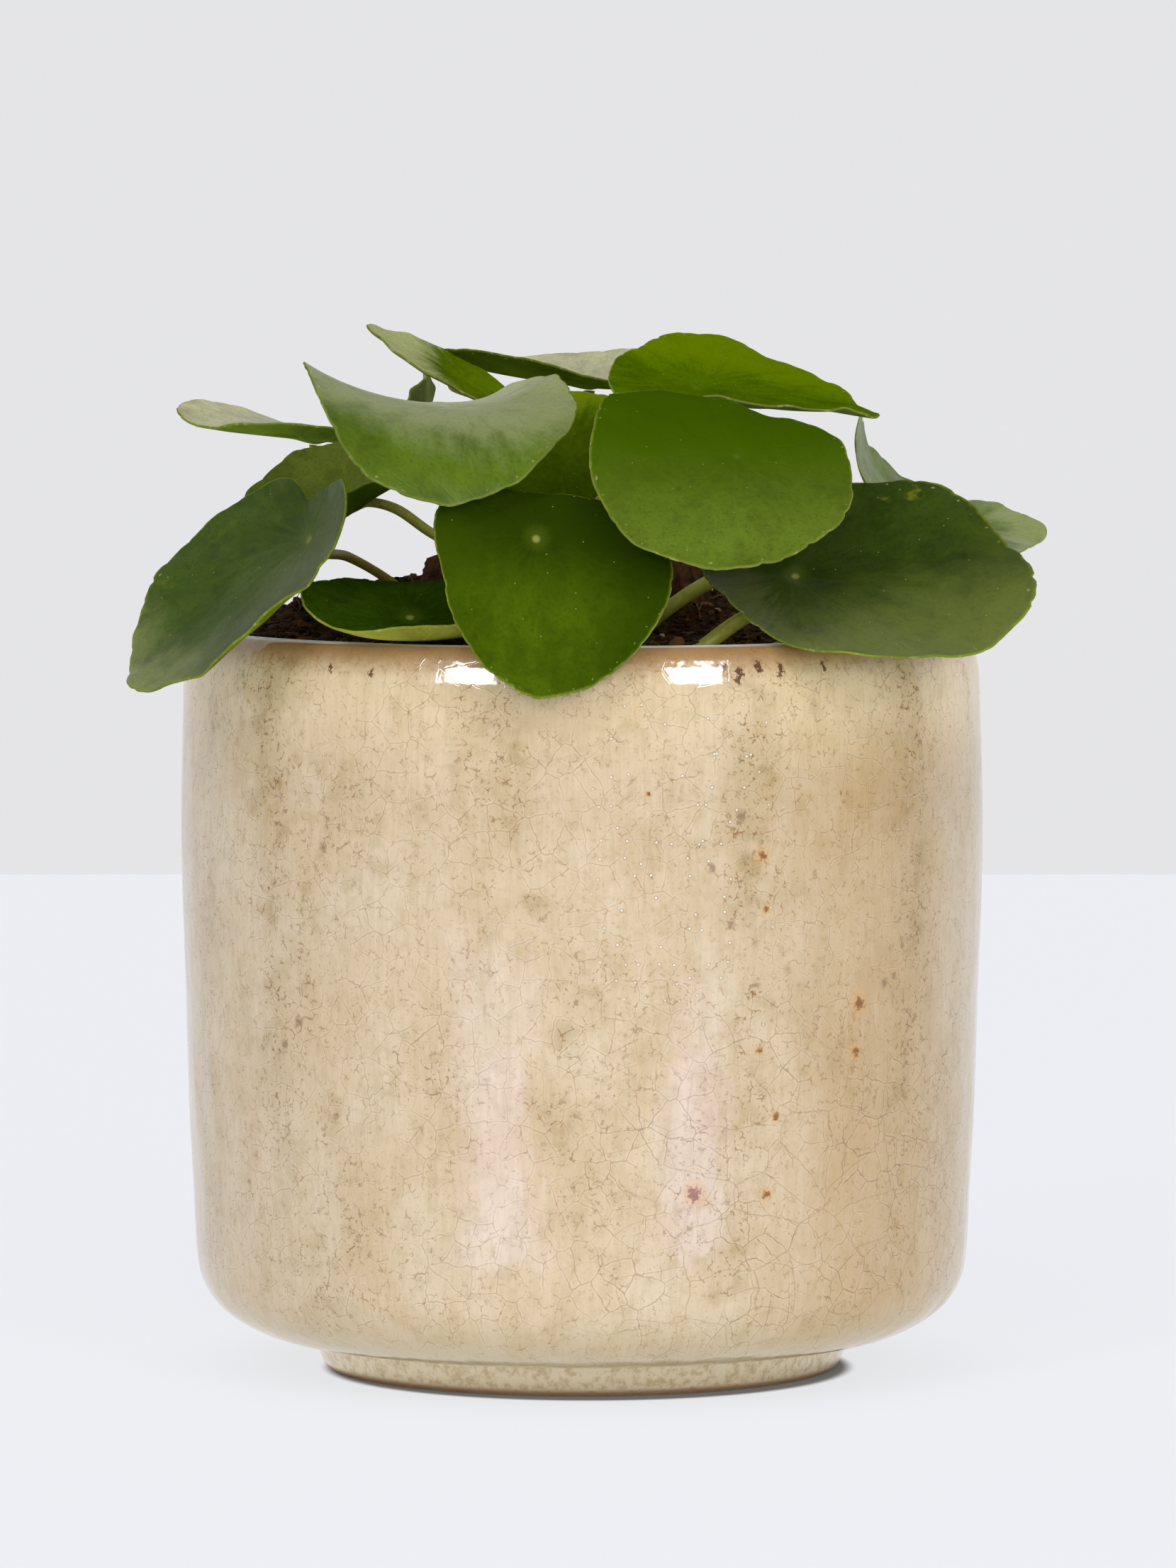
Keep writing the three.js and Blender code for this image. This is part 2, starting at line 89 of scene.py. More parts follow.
# A blade's mesh: points in each ring, the rings' share of the way out, and the rim, which thins towards
# the margin and is rounded off by rows of points at a share of the thickness, standing out so far
BLADE_SIDES = 180
BLADE_RHO = np.concatenate([np.linspace(0.03, 0.93, 26), [0.955, 0.975, 0.99, 1.0]])
THIN_FROM = 0.8
THINNING = 0.35
EDGE_INSET = 0.1
EDGE_ROUND = ((0.22, 0.13), (0.5, 0.18), (0.78, 0.13))

# The flat leaf that its markings are drawn on: the millimetres that a UV of one stands for, the main
# veins and the dots along the margin
PLAN_SPAN = 100
VEINS = 9
RIM_DOTS = 36

LEAVES = {
    "a": dict(at=(-49.8, -44, 156.3), size=(52.5, 43.5), turn=(183, -43, -35),
              curl=(8, 50, 46, 8), offset=0.28, side=0.5, egg=0.1, start=0.4,
              bulge=((134, -0.28, 25), (85, -0.03, 22), (38, -0.1, 18), (320, -0.03, 20),
                     (203, -0.16, 11), (170, 0.19, 12), (275, 0.04, 25))),
    "b": dict(at=(-31, -49, 142.7), size=(40, 43), turn=(-85, -35, 0),
              curl=(62, -36, 26, 30), offset=0.05, side=0.5, wave=0.15, start=1.9,
              bulge=((308, -0.12, 24), (228, -0.1, 22), (38, 0.16, 25))),
    "c": dict(at=(-8, -65, 157.3), size=(43, 42), turn=(-101, -60, -18),
              curl=(8, -12, 12, 5), offset=0.25, side=3.5, egg=0.25, start=0.9,
              bulge=((234, 0.12, 24), (265, -0.09, 24))),
    "d": dict(at=(-22, -46, 180.6), size=(51, 46), turn=(193, 0, -4),
              curl=(27, 26, -48, -20), offset=0.08, side=6.5, egg=-0.2, twist=6, start=2.6,
              bulge=((50, 0.25, 30), (200, -0.05, 30)), lift=((222, 1.9, 28),)),
    "e": dict(at=(28, -56, 172), size=(48, 49.5), turn=(195, 1, -46),
              curl=(5, 5, 5, -45), offset=0.06, side=2.8, twist=-8, start=3.4,
              bulge=((302, 0.08, 30), (232, -0.15, 26), (42, 0.1, 28))),
    "f": dict(at=(38.7, -48, 150), size=(62, 49), turn=(-14, -9, 42),
              curl=(8, 5, 8, 28), offset=0.2, side=1, egg=-0.12, start=1.3,
              bulge=((222, -0.11, 24), (42, -0.1, 20), (325, 0.03, 18))),
    "g": dict(at=(21.7, 12, 182.6), size=(49, 43), turn=(-8, -7, 21),
              curl=(-3, 5, 5, 30), offset=0.165, egg=0.2, point=0.1, twist=-10, start=4.1,
              bulge=((26, -0.06, 22), (180, 0.04, 25))),
    "h": dict(at=(-23.2, 18, 184.7), size=(30.8, 18.5), turn=(170, 29, -19),
              curl=(5, 5, 20, 5), offset=0.02, side=3, point=0.2, wave=0.2, start=5.2),
    "i": dict(at=(1.5, 46, 182.3), size=(50, 43), turn=(176, 3, -6),
              curl=(14, 26, 24, 20), offset=0.1, twist=12, wave=0.15, start=0.2),
    "j": dict(at=(-50.5, 36, 172.2), size=(38, 36), turn=(172, 7, -3),
              curl=(9, 8, 30, -14), offset=0.2, twist=-12, wave=0.15, start=2.2,
              bulge=((40, -0.2, 25),)),
    "k": dict(at=(-44.8, 3, 162.2), size=(41, 47), turn=(185, -32, -29),
              curl=(0, 10, 65, -4), offset=0.15, side=1.5, start=3.9),
    "l": dict(at=(-30.9, 38, 172.5), size=(24, 20), turn=(10, 80, -25),
              curl=(5, 5, 30, 10), point=0.08, start=0.7),
    "m": dict(at=(-3.5, -11, 169), size=(30, 30), turn=(-90, -45, 0),
              curl=(10, 10, 10, 10), offset=-0.08, start=1.1),
    "o": dict(at=(67.2, 25, 156), size=(46, 36), turn=(-6, -11, 13),
              curl=(4, 88, 10, 14), offset=-0.1, point=0, twist=10, start=4.6,
              bulge=((16, 0.12, 12),)),
}

PETIOLES = {
    "a": dict(foot=(-24.5, -11, 138), through=((-35.9, -15, 147.5), (-42.6, -24, 151.9)),
              radius=0.9, run=2.5),
    "b": dict(foot=(-19, -29, 133.5), through=((-25, -38, 139.6),), radius=0.9, run=1.5),
    "c": dict(stem=(-95, 150), through=((-7, -30, 158),), radius=1, run=6),
    "d": dict(stem=(-150, 153.5), through=((-17, -8.5, 160), (-21, -20, 169)), radius=1, run=7),
    "e": dict(stem=(-50, 149), through=((5, -20, 152), (12, -34, 157.5)), radius=1, run=7),
    "f": dict(foot=(14, -54, 131.5), through=((29.5, -48, 142),), radius=1.4, run=3),
    "g": dict(stem=(-72, 153), through=((0, -20, 155), (3, -25, 162), (15, -17, 171.5)),
              radius=0.9, run=6),
    "h": dict(stem=(120, 156), through=((-14, 12, 171), (-18, 16.5, 179.3)), radius=0.8, run=1.2),
    "i": dict(stem=(80, 152.5), through=((-2, 24, 164),), radius=0.9, run=8),
    "j": dict(stem=(150, 153.5), through=((-19, 13, 161), (-36, 25.5, 166.5)), radius=0.9, run=1.5),
    "k": dict(stem=(178, 147.5), through=((-27.2, 0.8, 154.9), (-34.8, 2, 159.9), (-40, 2.8, 161)),
              radius=0.95, run=1.5),
    "l": dict(stem=(112, 149), through=((-15, 18, 156), (-27, 32, 165)), radius=0.7, run=3),
    "m": dict(stem=(10, 154), through=((1.8, -2.5, 161),), radius=0.8, run=5),
    "o": dict(foot=(3, -15.5, 131.5), through=((15.5, -20, 142), (24, -17, 147.2), (45, -2, 152.5)),
              radius=1.4, run=3),
}


def srgb(r, g, b):
    """Linear colour of an 8-bit one."""
    def linear(v):
        v /= 255
        return v / 12.92 if v <= 0.04045 else ((v + 0.055) / 1.055) ** 2.4
    return (linear(r), linear(g), linear(b), 1)


# Shader building

class Val:
    """A shader value that can be reckoned with."""

    def __init__(self, graph, socket):
        self.graph, self.socket = graph, socket

    def __neg__(self):
        return self * -1

    def __abs__(self):
        return self.graph.math("ABSOLUTE", self)

    def fract(self):
        return self.graph.math("FRACT", self)

    def root(self):
        return self.graph.math("SQRT", self)

    def split(self):
        node = self.graph.node("ShaderNodeSeparateXYZ", {0: self})
        return [Val(self.graph, output) for output in node.outputs]

    def shift(self, other):
        return self.graph.put("ShaderNodeVectorMath", {0: self, 1: other}, operation="ADD")

    def scale(self, factor):
        return self.graph.put("ShaderNodeVectorMath", {0: self, "Scale": factor}, operation="SCALE")

    def noise(self, size, detail=2, rough=0.5, bend=0, output=0):
        """Noise from 0 to 1 at this place, with lumps of about that size."""
        inputs = {"Vector": self, "Scale": 1 / size, "Detail": detail, "Roughness": rough,
                  "Distortion": bend}
        return self.graph.put("ShaderNodeTexNoise", inputs, output)

    def warp(self, by, size, reach, detail=1):
        """This place moved about, as far as reach, by noise at the place by with lumps of that size."""
        return self.shift(by.noise(size, detail, output=1).shift((-0.5, -0.5, -0.5)).scale(reach))

    def voronoi(self, size, feature, dimensions):
        return self.graph.node("ShaderNodeTexVoronoi", {"Vector": self, "Scale": 1 / size},
                               voronoi_dimensions=dimensions, feature=feature).outputs

    def cells(self, size, dimensions="2D"):
        """Cells of about that size: the distance from each one's middle, and each one's own colour."""
        outputs = self.voronoi(size, "F1", dimensions)
        return Val(self.graph, outputs["Distance"]), Val(self.graph, outputs["Color"])

    def edges(self, size):
        """The distance from the edges between flat cells of about that size."""
        return Val(self.graph, self.voronoi(size, "DISTANCE_TO_EDGE", "2D")["Distance"])

    def step(self, low, high, out_low=0, out_high=1):
        """A soft step from out_low where the value is low to out_high where it is high."""
        return self.graph.put("ShaderNodeMapRange", {
            "Value": self, "From Min": low, "From Max": high, "To Min": out_low, "To Max": out_high},
            interpolation_type="SMOOTHSTEP")

    def fall(self, low, high):
        return 1 - self.step(low, high)


def reckon(operation, swapped):
    def result(self, other):
        return self.graph.math(operation, *((other, self) if swapped else (self, other)))
    return result


for sign, operation in (("add", "ADD"), ("sub", "SUBTRACT"), ("mul", "MULTIPLY"), ("pow", "POWER")):
    setattr(Val, "__" + sign + "__", reckon(operation, False))
    setattr(Val, "__r" + sign + "__", reckon(operation, True))


class Graph:
    """A material's node tree with short names for its nodes."""

    def __init__(self, name):
        self.material = bpy.data.materials.new(name)
        self.material.use_nodes = True
        self.tree = self.material.node_tree
        self.tree.nodes.clear()
        self.out = self.tree.nodes.new("ShaderNodeOutputMaterial")

    def node(self, kind, inputs=(), **settings):
        node = self.tree.nodes.new(kind)
        for key, value in settings.items():
            setattr(node, key, value)
        for key, value in dict(inputs).items():
            if isinstance(value, Val):
                self.tree.links.new(value.socket, node.inputs[key])
            else:
                node.inputs[key].default_value = value
        return node

    def put(self, kind, inputs=(), output=0, **settings):
        return Val(self, self.node(kind, inputs, **settings).outputs[output])

    def math(self, operation, *args):
        return self.put("ShaderNodeMath", enumerate(args), operation=operation)

    def vector(self, x, y, z=0):
        return self.put("ShaderNodeCombineXYZ", {0: x, 1: y, 2: z})

    def place(self):
        """The point in the row frame, in millimetres."""
        return self.put("ShaderNodeTexCoord", output="Object").scale(1000)

    def uv(self, name):
        return self.put("ShaderNodeUVMap", uv_map=name)

    def mix(self, factor, a, b, blend="MIX"):
        """Colours a and b mixed: values, linear colours with four parts or 8-bit ones with three."""
        a, b = (srgb(*c) if isinstance(c, tuple) and len(c) == 3 else c for c in (a, b))
        return self.put("ShaderNodeMix", {0: factor, 6: a, 7: b}, 2, data_type="RGBA", blend_type=blend)

    def finish(self, colour, height=None, **inputs):
        """The material, with the bump of a height in millimetres."""
        inputs = {"Base Color": colour, **{key.replace("_", " "): value for key, value in inputs.items()}}
        if height is not None:
            inputs["Normal"] = self.put("ShaderNodeBump", {"Height": height, "Distance": MM})
        node = self.node("ShaderNodeBsdfPrincipled", inputs)
        self.tree.links.new(node.outputs[0], self.out.inputs[0])
        return self.material


class Coat:
    """A colour, mixed of two to begin with, that tints are laid over, each by its share."""

    def __init__(self, graph, share, first, second):
        self.graph, self.colour = graph, graph.mix(share, first, second)

    def lay(self, share, tint):
        self.colour = self.graph.mix(share, self.colour, tint)


# Mesh building

def make(name, points, faces, materials, smooth=True, uvs=None, slots=None, marks=None):
    """A mesh from points in millimetres. uvs holds one (u, v) for each corner under each name, and marks
    one value for each point."""
    mesh = bpy.data.meshes.new(name)
    mesh.from_pydata([tuple(p) for p in np.asarray(points) * MM], [], [tuple(f) for f in faces])
    for material in materials:
        mesh.materials.append(material)
    if slots is not None:
        mesh.polygons.foreach_set("material_index", slots)
    mesh.polygons.foreach_set("use_smooth", [smooth] * len(mesh.polygons))
    for key, values in (uvs or {}).items():
        layer = mesh.uv_layers.new(name=key)
        layer.uv.foreach_set("vector", np.asarray(values, dtype=np.float32).ravel())
    for key, values in (marks or {}).items():
        layer = mesh.attributes.new(key, "FLOAT", "POINT")
        layer.data.foreach_set("value", np.asarray(values, dtype=np.float32))
    mesh.update()
    piece = bpy.data.objects.new(name, mesh)
    bpy.context.scene.collection.objects.link(piece)
    return piece


def settle(piece, node):
    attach(piece, "root")
    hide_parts(node)


def capped(points, sides, top, foot):
    """The points and faces of a solid made of rings of points, each ring counter-clockwise seen from above
    and each above the last, closed by a top and a foot point."""
    count = len(points)
    faces = []
    for low in range(0, count - sides, sides):
        for j in range(sides):
            k = (j + 1) % sides
            faces.append((low + j, low + k, low + sides + k, low + sides + j))
    faces += [(count + 1, (j + 1) % sides, j) for j in range(sides)]
    faces += [(count, count - sides + j, count - sides + (j + 1) % sides) for j in range(sides)]
    return points + [top, foot], faces


def ring(radius, z, sides):
    turns = [2 * math.pi * j / sides for j in range(sides)]
    return [(radius * math.cos(a), radius * math.sin(a), z) for a in turns]


# The plant's form, as in the solids

def number_of(name):
    """1 for leaf a, 2 for leaf b and so on."""
    return ord(name) - ord("a") + 1


def bend(s, angle, half):
    k = np.radians(angle) / half
    k = np.where(np.abs(k) < 1e-9, 1e-9, k)
    return np.sin(k * s) / k, (1 - np.cos(k * s)) / k


def axes_of(leaf):
    heading, pitch, roll = (math.radians(v) for v in leaf["turn"])
    level_share = math.cos(pitch)
    along = np.array([math.cos(heading) * level_share, math.sin(heading) * level_share, math.sin(pitch)])
    level = np.array([-math.sin(heading), math.cos(heading), 0])
    above = np.cross(along, level)
    across = level * math.cos(roll) + above * math.sin(roll)
    up = above * math.cos(roll) - level * math.sin(roll)
    return along, across, up


def margin(t, seed):
    """How far the margin is pulled in by its small round teeth, as a share of the reach."""
    drift = 0.5 * np.sin(2 * t + seed) + 0.35 * np.sin(3 * t + 2.1 * seed)
    deep = 0.45 + 0.35 * np.sin(2 * t + 1.7 * seed) + 0.2 * np.sin(5 * t + 0.6 * seed)
    teeth = (1 - np.abs(np.sin(13 * t + 2 * drift + seed))) ** 3
    small = (1 - np.abs(np.sin(31 * t + 3 * drift))) ** 2
    return -0.026 * teeth * np.clip(deep, 0.15, 1) - 0.004 * small


def near_angles(marks, t):
    """How much of each bulge or lift is felt at t, added up."""
    total = np.zeros_like(t)
    for degrees, amount, spread in marks:
        away = (t - math.radians(degrees) + math.pi) % (2 * math.pi) - math.pi
        total = total + amount * np.exp(-((away / math.radians(spread)) ** 2))
    return total


def blade_points(leaf, t, rho, seed):
    """Points of the upper face, and the same points on the flat leaf."""
    length, width = leaf["size"]
    offset = leaf.get("offset", 0) * length
    from_tip = np.minimum(t, 2 * math.pi - t)
    reach = (1 + leaf.get("point", 0.04) * np.exp(-((from_tip / TIP_SPREAD) ** 2))
             - NOTCH_DEPTH * np.exp(-(((t - math.pi) / NOTCH_SPREAD) ** 2))
             + near_angles(leaf.get("bulge", ()), t) + margin(t, seed) * rho ** 6)
    u = rho * (offset + length / 2 * np.cos(t) * reach)
    broad = width / 2 * np.sin(t) * (1 - leaf.get("egg", 0) * np.cos(t)) * reach
    v = rho * (leaf.get("side", 0) + broad)
    tip, base, left, right = leaf["curl"]
    along_arc, along_rise = bend(np.abs(u), np.where(u > 0, tip, base),
                                 np.where(u > 0, length / 2 + offset, length / 2 - offset))
    across_arc, across_rise = bend(np.abs(v), np.where(v > 0, left, right), width / 2)
    x = np.sign(u) * along_arc
    y = np.sign(v) * across_arc
    rise = along_rise + across_rise
    twist = math.radians(leaf.get("twist", 0)) * u / (length / 2)
    y_turned = y * np.cos(twist) - rise * np.sin(twist)
    ripple = leaf.get("wave", MARGIN_WAVE) * np.sin(MARGIN_LOBES * t + leaf["start"])
    wave = rho ** 3 * (ripple + near_angles(leaf.get("lift", ()), t))
    calm = min(1, leaf.get("wave", 0.8 * MARGIN_WAVE) / MARGIN_WAVE)
    fine = 0.4 * rho ** 4 * np.sin(11 * t + seed) + 0.14 * rho ** 8 * np.sin(23 * t + 2 * seed)
    wave = wave + calm * fine
    dimple = NAVEL_DEPTH * np.exp(-((rho * length / 2 / NAVEL_RADIUS) ** 2))
    z_turned = y * np.sin(twist) + rise * np.cos(twist) + wave - dimple
    along, across, up = axes_of(leaf)
    points = np.array(leaf["at"]) + x[:, None] * along + y_turned[:, None] * across + z_turned[:, None] * up
    return points, np.stack([u, v], axis=1)


def point_normals(points, faces, fan):
    """Normals of the points of a blade's face, which is a fan of triangles and then quads."""
    normals = np.zeros_like(points)
    firsts = np.array([face[:3] for face in faces])
    quads = np.array(faces[fan:])
    for corners, felt_at in ((firsts, (0, 1, 2)), (quads[:, [0, 2, 3]], (2,))):
        start = points[corners[:, 0]]
        cross = np.cross(points[corners[:, 1]] - start, points[corners[:, 2]] - start)
        for k in felt_at:
            np.add.at(normals, corners[:, k], cross)
    return normals / np.linalg.norm(normals, axis=1)[:, None]


def blade_uvs(faces, plan_of, turn_of, rho_of):
    """Each corner's place on the flat leaf, and its turn round the navel with its share of the way out."""
    plan, around = [], []
    for face in faces:
        turns = [turn_of[k] for k in face]
        wraps = max(turns) > 0.9 and min(turns) < 0.1
        for k in face:
            past_start = wraps and turn_of[k] < 0.1 and rho_of[k] > 0
            plan.append(plan_of[k] / PLAN_SPAN + 0.5)
            around.append((turn_of[k] + (1 if past_start else 0), rho_of[k]))
    return {"plan": plan, "around": around}


def blade(name, leaf, seed):
    n, rings = BLADE_SIDES, len(BLADE_RHO)
    turns = np.concatenate([[0.0], np.tile(2 * math.pi * np.arange(n) / n, rings)])
    rho = np.concatenate([[0.0], np.repeat(BLADE_RHO, n)])
    upper, flat = blade_points(leaf, turns, rho, seed)
    top = [(0, 1 + j, 1 + (j + 1) % n) for j in range(n)]
    for i in range(rings - 1):
        for j in range(n):
            a, b = 1 + i * n + j, 1 + i * n + (j + 1) % n
            top.append((a, a + n, b + n, b))
    near_margin = np.clip((rho - THIN_FROM) / (1 - THIN_FROM), 0, 1)
    thick = BLADE_THICKNESS * (1 - THINNING * near_margin ** 2)
    lower = upper - point_normals(upper, top, n) * thick[:, None]

    # the rim is drawn in a little, and three rows of points round it off
    count = len(upper)
    rim = count - n
    outward = upper[rim:] - upper[rim - n:rim]
    outward /= np.linalg.norm(outward, axis=1)[:, None]
    upper[rim:] -= outward * EDGE_INSET
    lower[rim:] -= outward * EDGE_INSET
    edge = [upper[rim:] * (1 - share) + lower[rim:] * share + outward * reach for share, reach in EDGE_ROUND]
    rows = [2 * count + k * n + np.arange(n) for k in range(len(edge))]
    rows = [np.arange(rim, count)] + rows + [count + np.arange(rim, count)]
    under = [tuple(count + k for k in reversed(face)) for face in top]
    for high, low in zip(rows, rows[1:]):
        for j in range(n):
            k = (j + 1) % n
            under.append((high[j], low[j], low[k], high[k]))

    faces = top + under
    extra = len(edge)
    uvs = blade_uvs(faces, np.concatenate([flat, flat] + [flat[rim:]] * extra),
                    np.concatenate([turns, turns] + [turns[rim:]] * extra) / (2 * math.pi),
                    np.concatenate([rho, rho] + [np.ones(n)] * extra))
    piece = make("blade_" + name, np.concatenate([upper, lower] + edge), faces,
                 [leaf_face(name), leaf_under(name)], uvs=uvs, slots=[0] * len(top) + [1] * len(under))
    settle(piece, "leaf_" + name)


def look(face, under, shine=0.0, specks=0.5, blotch=0.0, navel=0.3, shade_and_sheen_fades=()):
    """What a blade looks like: the green of its face and of its underside, how much it mirrors, how many
    pale specks it has, how strongly its margin is blotched with yellow and how clear the pale navel is.
    Its shade_and_sheen_fades are painted shade and painted sheen: each is a colour that takes over towards
    one side: degrees from the tip, from and to in millimetres from the navel, the colour and how much of it."""
    return dict(face=face, under=under, shine=shine, specks=specks, blotch=blotch, navel=navel, shade_and_sheen_fades=shade_and_sheen_fades)


# Some of these greens are painted light: the pale faces of i and j are a painted reflection of the bright
# room at a grazing angle, b's pale underside is painted lit and i's dark underside is painted in shade.
LOOKS = {
    "a": look((57, 80, 17), (104, 124, 30), shine=0.23, specks=1.0, blotch=0.35, navel=0.5,
              shade_and_sheen_fades=((95, -10, 8, (98, 106, 70), 0.6), (0, 26, 43, (138, 148, 92), 0.95))),
    "b": look((44, 70, 4), (136, 142, 52), specks=0.8, navel=0.9),
    "c": look((70, 94, 9), (98, 114, 36), specks=1.0, blotch=0.3, navel=0.9,
              shade_and_sheen_fades=((180, -16, 2, (42, 59, 4), 0.95), (90, 6, 20, (44, 66, 2), 0.7),
                     (-90, 4, 18, (62, 84, 5), 0.6))),
    "d": look((84, 109, 18), (96, 112, 44), shine=0.11, specks=0.6,
              shade_and_sheen_fades=((-90, -24, -9, (152, 161, 110), 0.95), (-90, -6, 10, (192, 200, 156), 0.8))),
    "e": look((94, 115, 34), (104, 118, 52), specks=0.8, navel=0.1,
              shade_and_sheen_fades=((-90, -21, 5, (66, 94, 2), 1.0),)),
    "f": look((46, 65, 4), (110, 132, 36), shine=0.15, specks=1.0, blotch=1.0, navel=0.9,
              shade_and_sheen_fades=((-58, 1, 31, (112, 124, 56), 1.0), (-150, 3, 12, (98, 108, 54), 0.85))),
    "g": look((78, 106, 1), (110, 124, 60), specks=0.8, navel=0.1,
              shade_and_sheen_fades=((90, 3, 14, (108, 134, 2), 0.95),)),
    "h": look((84, 106, 4), (110, 120, 60), navel=0.0, shade_and_sheen_fades=((20, 1, 11, (186, 192, 136), 0.9),)),
    "i": look((190, 191, 152), (82, 106, 16), shine=0.12, specks=0.4),
    "j": look((190, 190, 150), (104, 128, 38), shine=0.12, specks=0.4),
    "k": look((86, 100, 36), (88, 118, 20)),
    "l": look((124, 138, 76), (124, 138, 76), shine=0.3),
    "m": look((62, 83, 3), (96, 108, 6), navel=0.0, shade_and_sheen_fades=((180, 8, 16, (112, 134, 14), 0.9),)),
    "o": look((98, 118, 36), (150, 162, 110), shine=0.35, specks=0.6,
              shade_and_sheen_fades=((10, 9, 16, (160, 172, 112), 0.85),)),
}


def lighter(base, factor, add):
    """A lighter tint of a green, which gains hardly any blue."""
    return tuple(min(1, factor * c + add * k) for c, k in zip(base[:3], (1, 1, 0.1))) + (1,)


def darker(base, factor):
    return tuple(factor * c for c in base[:3]) + (1,)


def rim_dots(plan, turn, rho):
    """Pale dots in a loose row along the margin."""
    across = ((turn * RIM_DOTS).fract() - 0.5) * 4 + (plan.noise(6, 1) - 0.5) * 6
    inward = (rho - 0.965) * 23 + (plan.noise(9, 1) - 0.5) * 1.2
    away = (across * across + inward * inward).root()
    return away.fall(0.1, 0.24) * plan.noise(7, 1).step(0.5, 0.6) * 0.45


def leaf_places(g, seed):
    """Where a point lies on the flat leaf: x, y, both as a vector, the radius and angle about the navel,
    the turn as a share of a round, and the share of the way out to the margin."""
    x, y, _ = g.uv("plan").split()
    x, y = (x - 0.5) * PLAN_SPAN, (y - 0.5) * PLAN_SPAN
    turn, rho, _ = g.uv("around").split()
    return x, y, g.vector(x, y, seed), (x * x + y * y).root(), g.math("ARCTAN2", y, x), turn, rho


def vein_lines(angle, r, crook, core, rim):
    """Faint crooked veins that run out from the navel: from 1 within core of a vein's middle to 0 at rim."""
    turn = ((angle + crook * r.step(0, 14)) * (VEINS / (2 * math.pi)) + 0.5 + 3).fract()
    return (abs(turn - 0.5) * r * (2 * math.pi / VEINS)).fall(core, rim)


def leaf_skin(g, coat, height, **settings):
    return g.finish(coat.colour, height, Subsurface_Weight=0.12, Subsurface_Radius=(1, 1.4, 0.4),
                    Subsurface_Scale=0.0006, **settings)


def leaf_face(name):
    looks = LOOKS[name]
    g = Graph("leaf_face_" + name)
    seed = 13.7 * number_of(name)
    x, y, plan, r, angle, turn, rho = leaf_places(g, seed)
    base = srgb(*looks["face"])
    light, deep = lighter(base, 1.6, 0.016), darker(base, 0.5)

    # the green, in soft patches, with pores and a grain that runs out from the navel
    broad = plan.noise(14, 2)
    coat = Coat(g, broad.step(0.3, 0.72), deep, light)
    coat.lay(0.62, base)
    mottle = plan.noise(1.3, 3, 0.6)
    coat.lay(mottle.step(0.38, 0.7, 0, 0.22), light)
    shade = plan.shift((31, 3, 0)).noise(3.6, 3, 0.6)
    coat.lay(shade.step(0.48, 0.72, 0, 0.26), deep)
    grain = g.vector(angle * 7, r * 0.14, seed).noise(1, 3, 0.65)
    coat.lay(grain.step(0.38, 0.7, 0, 0.3) * r.step(3, 10), light)
    pores = plan.shift((7, 55, 0)).noise(0.75, 3, 0.7)
    coat.lay(pores.step(0.5, 0.72, 0, 0.32), deep)

    # faint veins, and the net between them near the margin
    crook = (plan.noise(9, 1) - 0.5) * 1.1 + (plan.noise(2.5, 1) - 0.5) * 0.18
    vein = vein_lines(angle, r, crook, 0.12, 0.55) * r.step(1.5, 5) * rho.fall(0.6, 0.98)
    net_line = plan.warp(plan, 6, 3).edges(6.5).fall(0, 0.07) * rho.step(0.25, 0.6)
    coat.lay(vein * 0.2, light)
    coat.lay(net_line * 0.06, light)

    # yellow blotches near the margin, then painted shade and painted sheen that take over towards a side
    if looks["blotch"]:
        far = rho.step(0.62, 0.9) * plan.noise(22, 1).step(0.42, 0.58)
        dapple = plan.shift((50, 9, 0)).noise(3.2, 2, 0.6).step(0.56, 0.74)
        coat.lay(far * dapple * (0.75 * looks["blotch"]), (136, 142, 30))
    for side, start, end, tint, share in looks["shade_and_sheen_fades"]:
        along = x * math.cos(math.radians(side)) + y * math.sin(math.radians(side))
        edge = along + (broad - 0.5) * 9 + (grain - 0.5) * 9 + (shade - 0.5) * 6
        coat.lay(edge.step(start, end) * share, tint)
    coat.lay(pores.step(0.48, 0.7, 0, 0.2), deep)
    coat.lay(grain.step(0.5, 0.3, 0, 0.16) * r.step(3, 10), deep)

    # the pale navel and the thin light edge
    halo = (r + (mottle - 0.5) * 1.5).fall(0.6, 3.6)
    coat.lay(halo * 0.22 * looks["navel"], (120, 140, 40))
    coat.lay(r.fall(0.35, 1) * 0.65 * looks["navel"], (176, 182, 96))
    coat.lay(rim_dots(plan, turn, rho), (196, 200, 128))
    rim = rho.step(0.978, 0.997) * plan.noise(2.2, 2).step(0.35, 0.65, 0.2, 0.9)
    coat.lay(rim * 0.5, (150, 160, 60))

    # small white specks and dull smears
    dots, tones = plan.cells(3.4)
    dot = dots.fall(0.022, 0.05) * tones.split()[0].step(0.84, 0.86)
    coat.lay(dot * 0.45 * looks["specks"], (200, 205, 150))
    smear = plan.noise(5, 4, 0.7).step(0.66, 0.8) * plan.noise(0.7, 2).step(0.5, 0.75)
    coat.lay(smear * 0.3 * looks["specks"], (150, 160, 110))

    height = ((broad - 0.5) * 0.7 + (plan.noise(5, 2) - 0.5) * 0.22 + (mottle - 0.5) * 0.02
              - vein * 0.05 - net_line * 0.02)
    rough = plan.noise(4, 3).step(0.3, 0.7, 0.36, 0.5)
    return leaf_skin(g, coat, height, Roughness=rough, Specular_IOR_Level=looks["shine"])


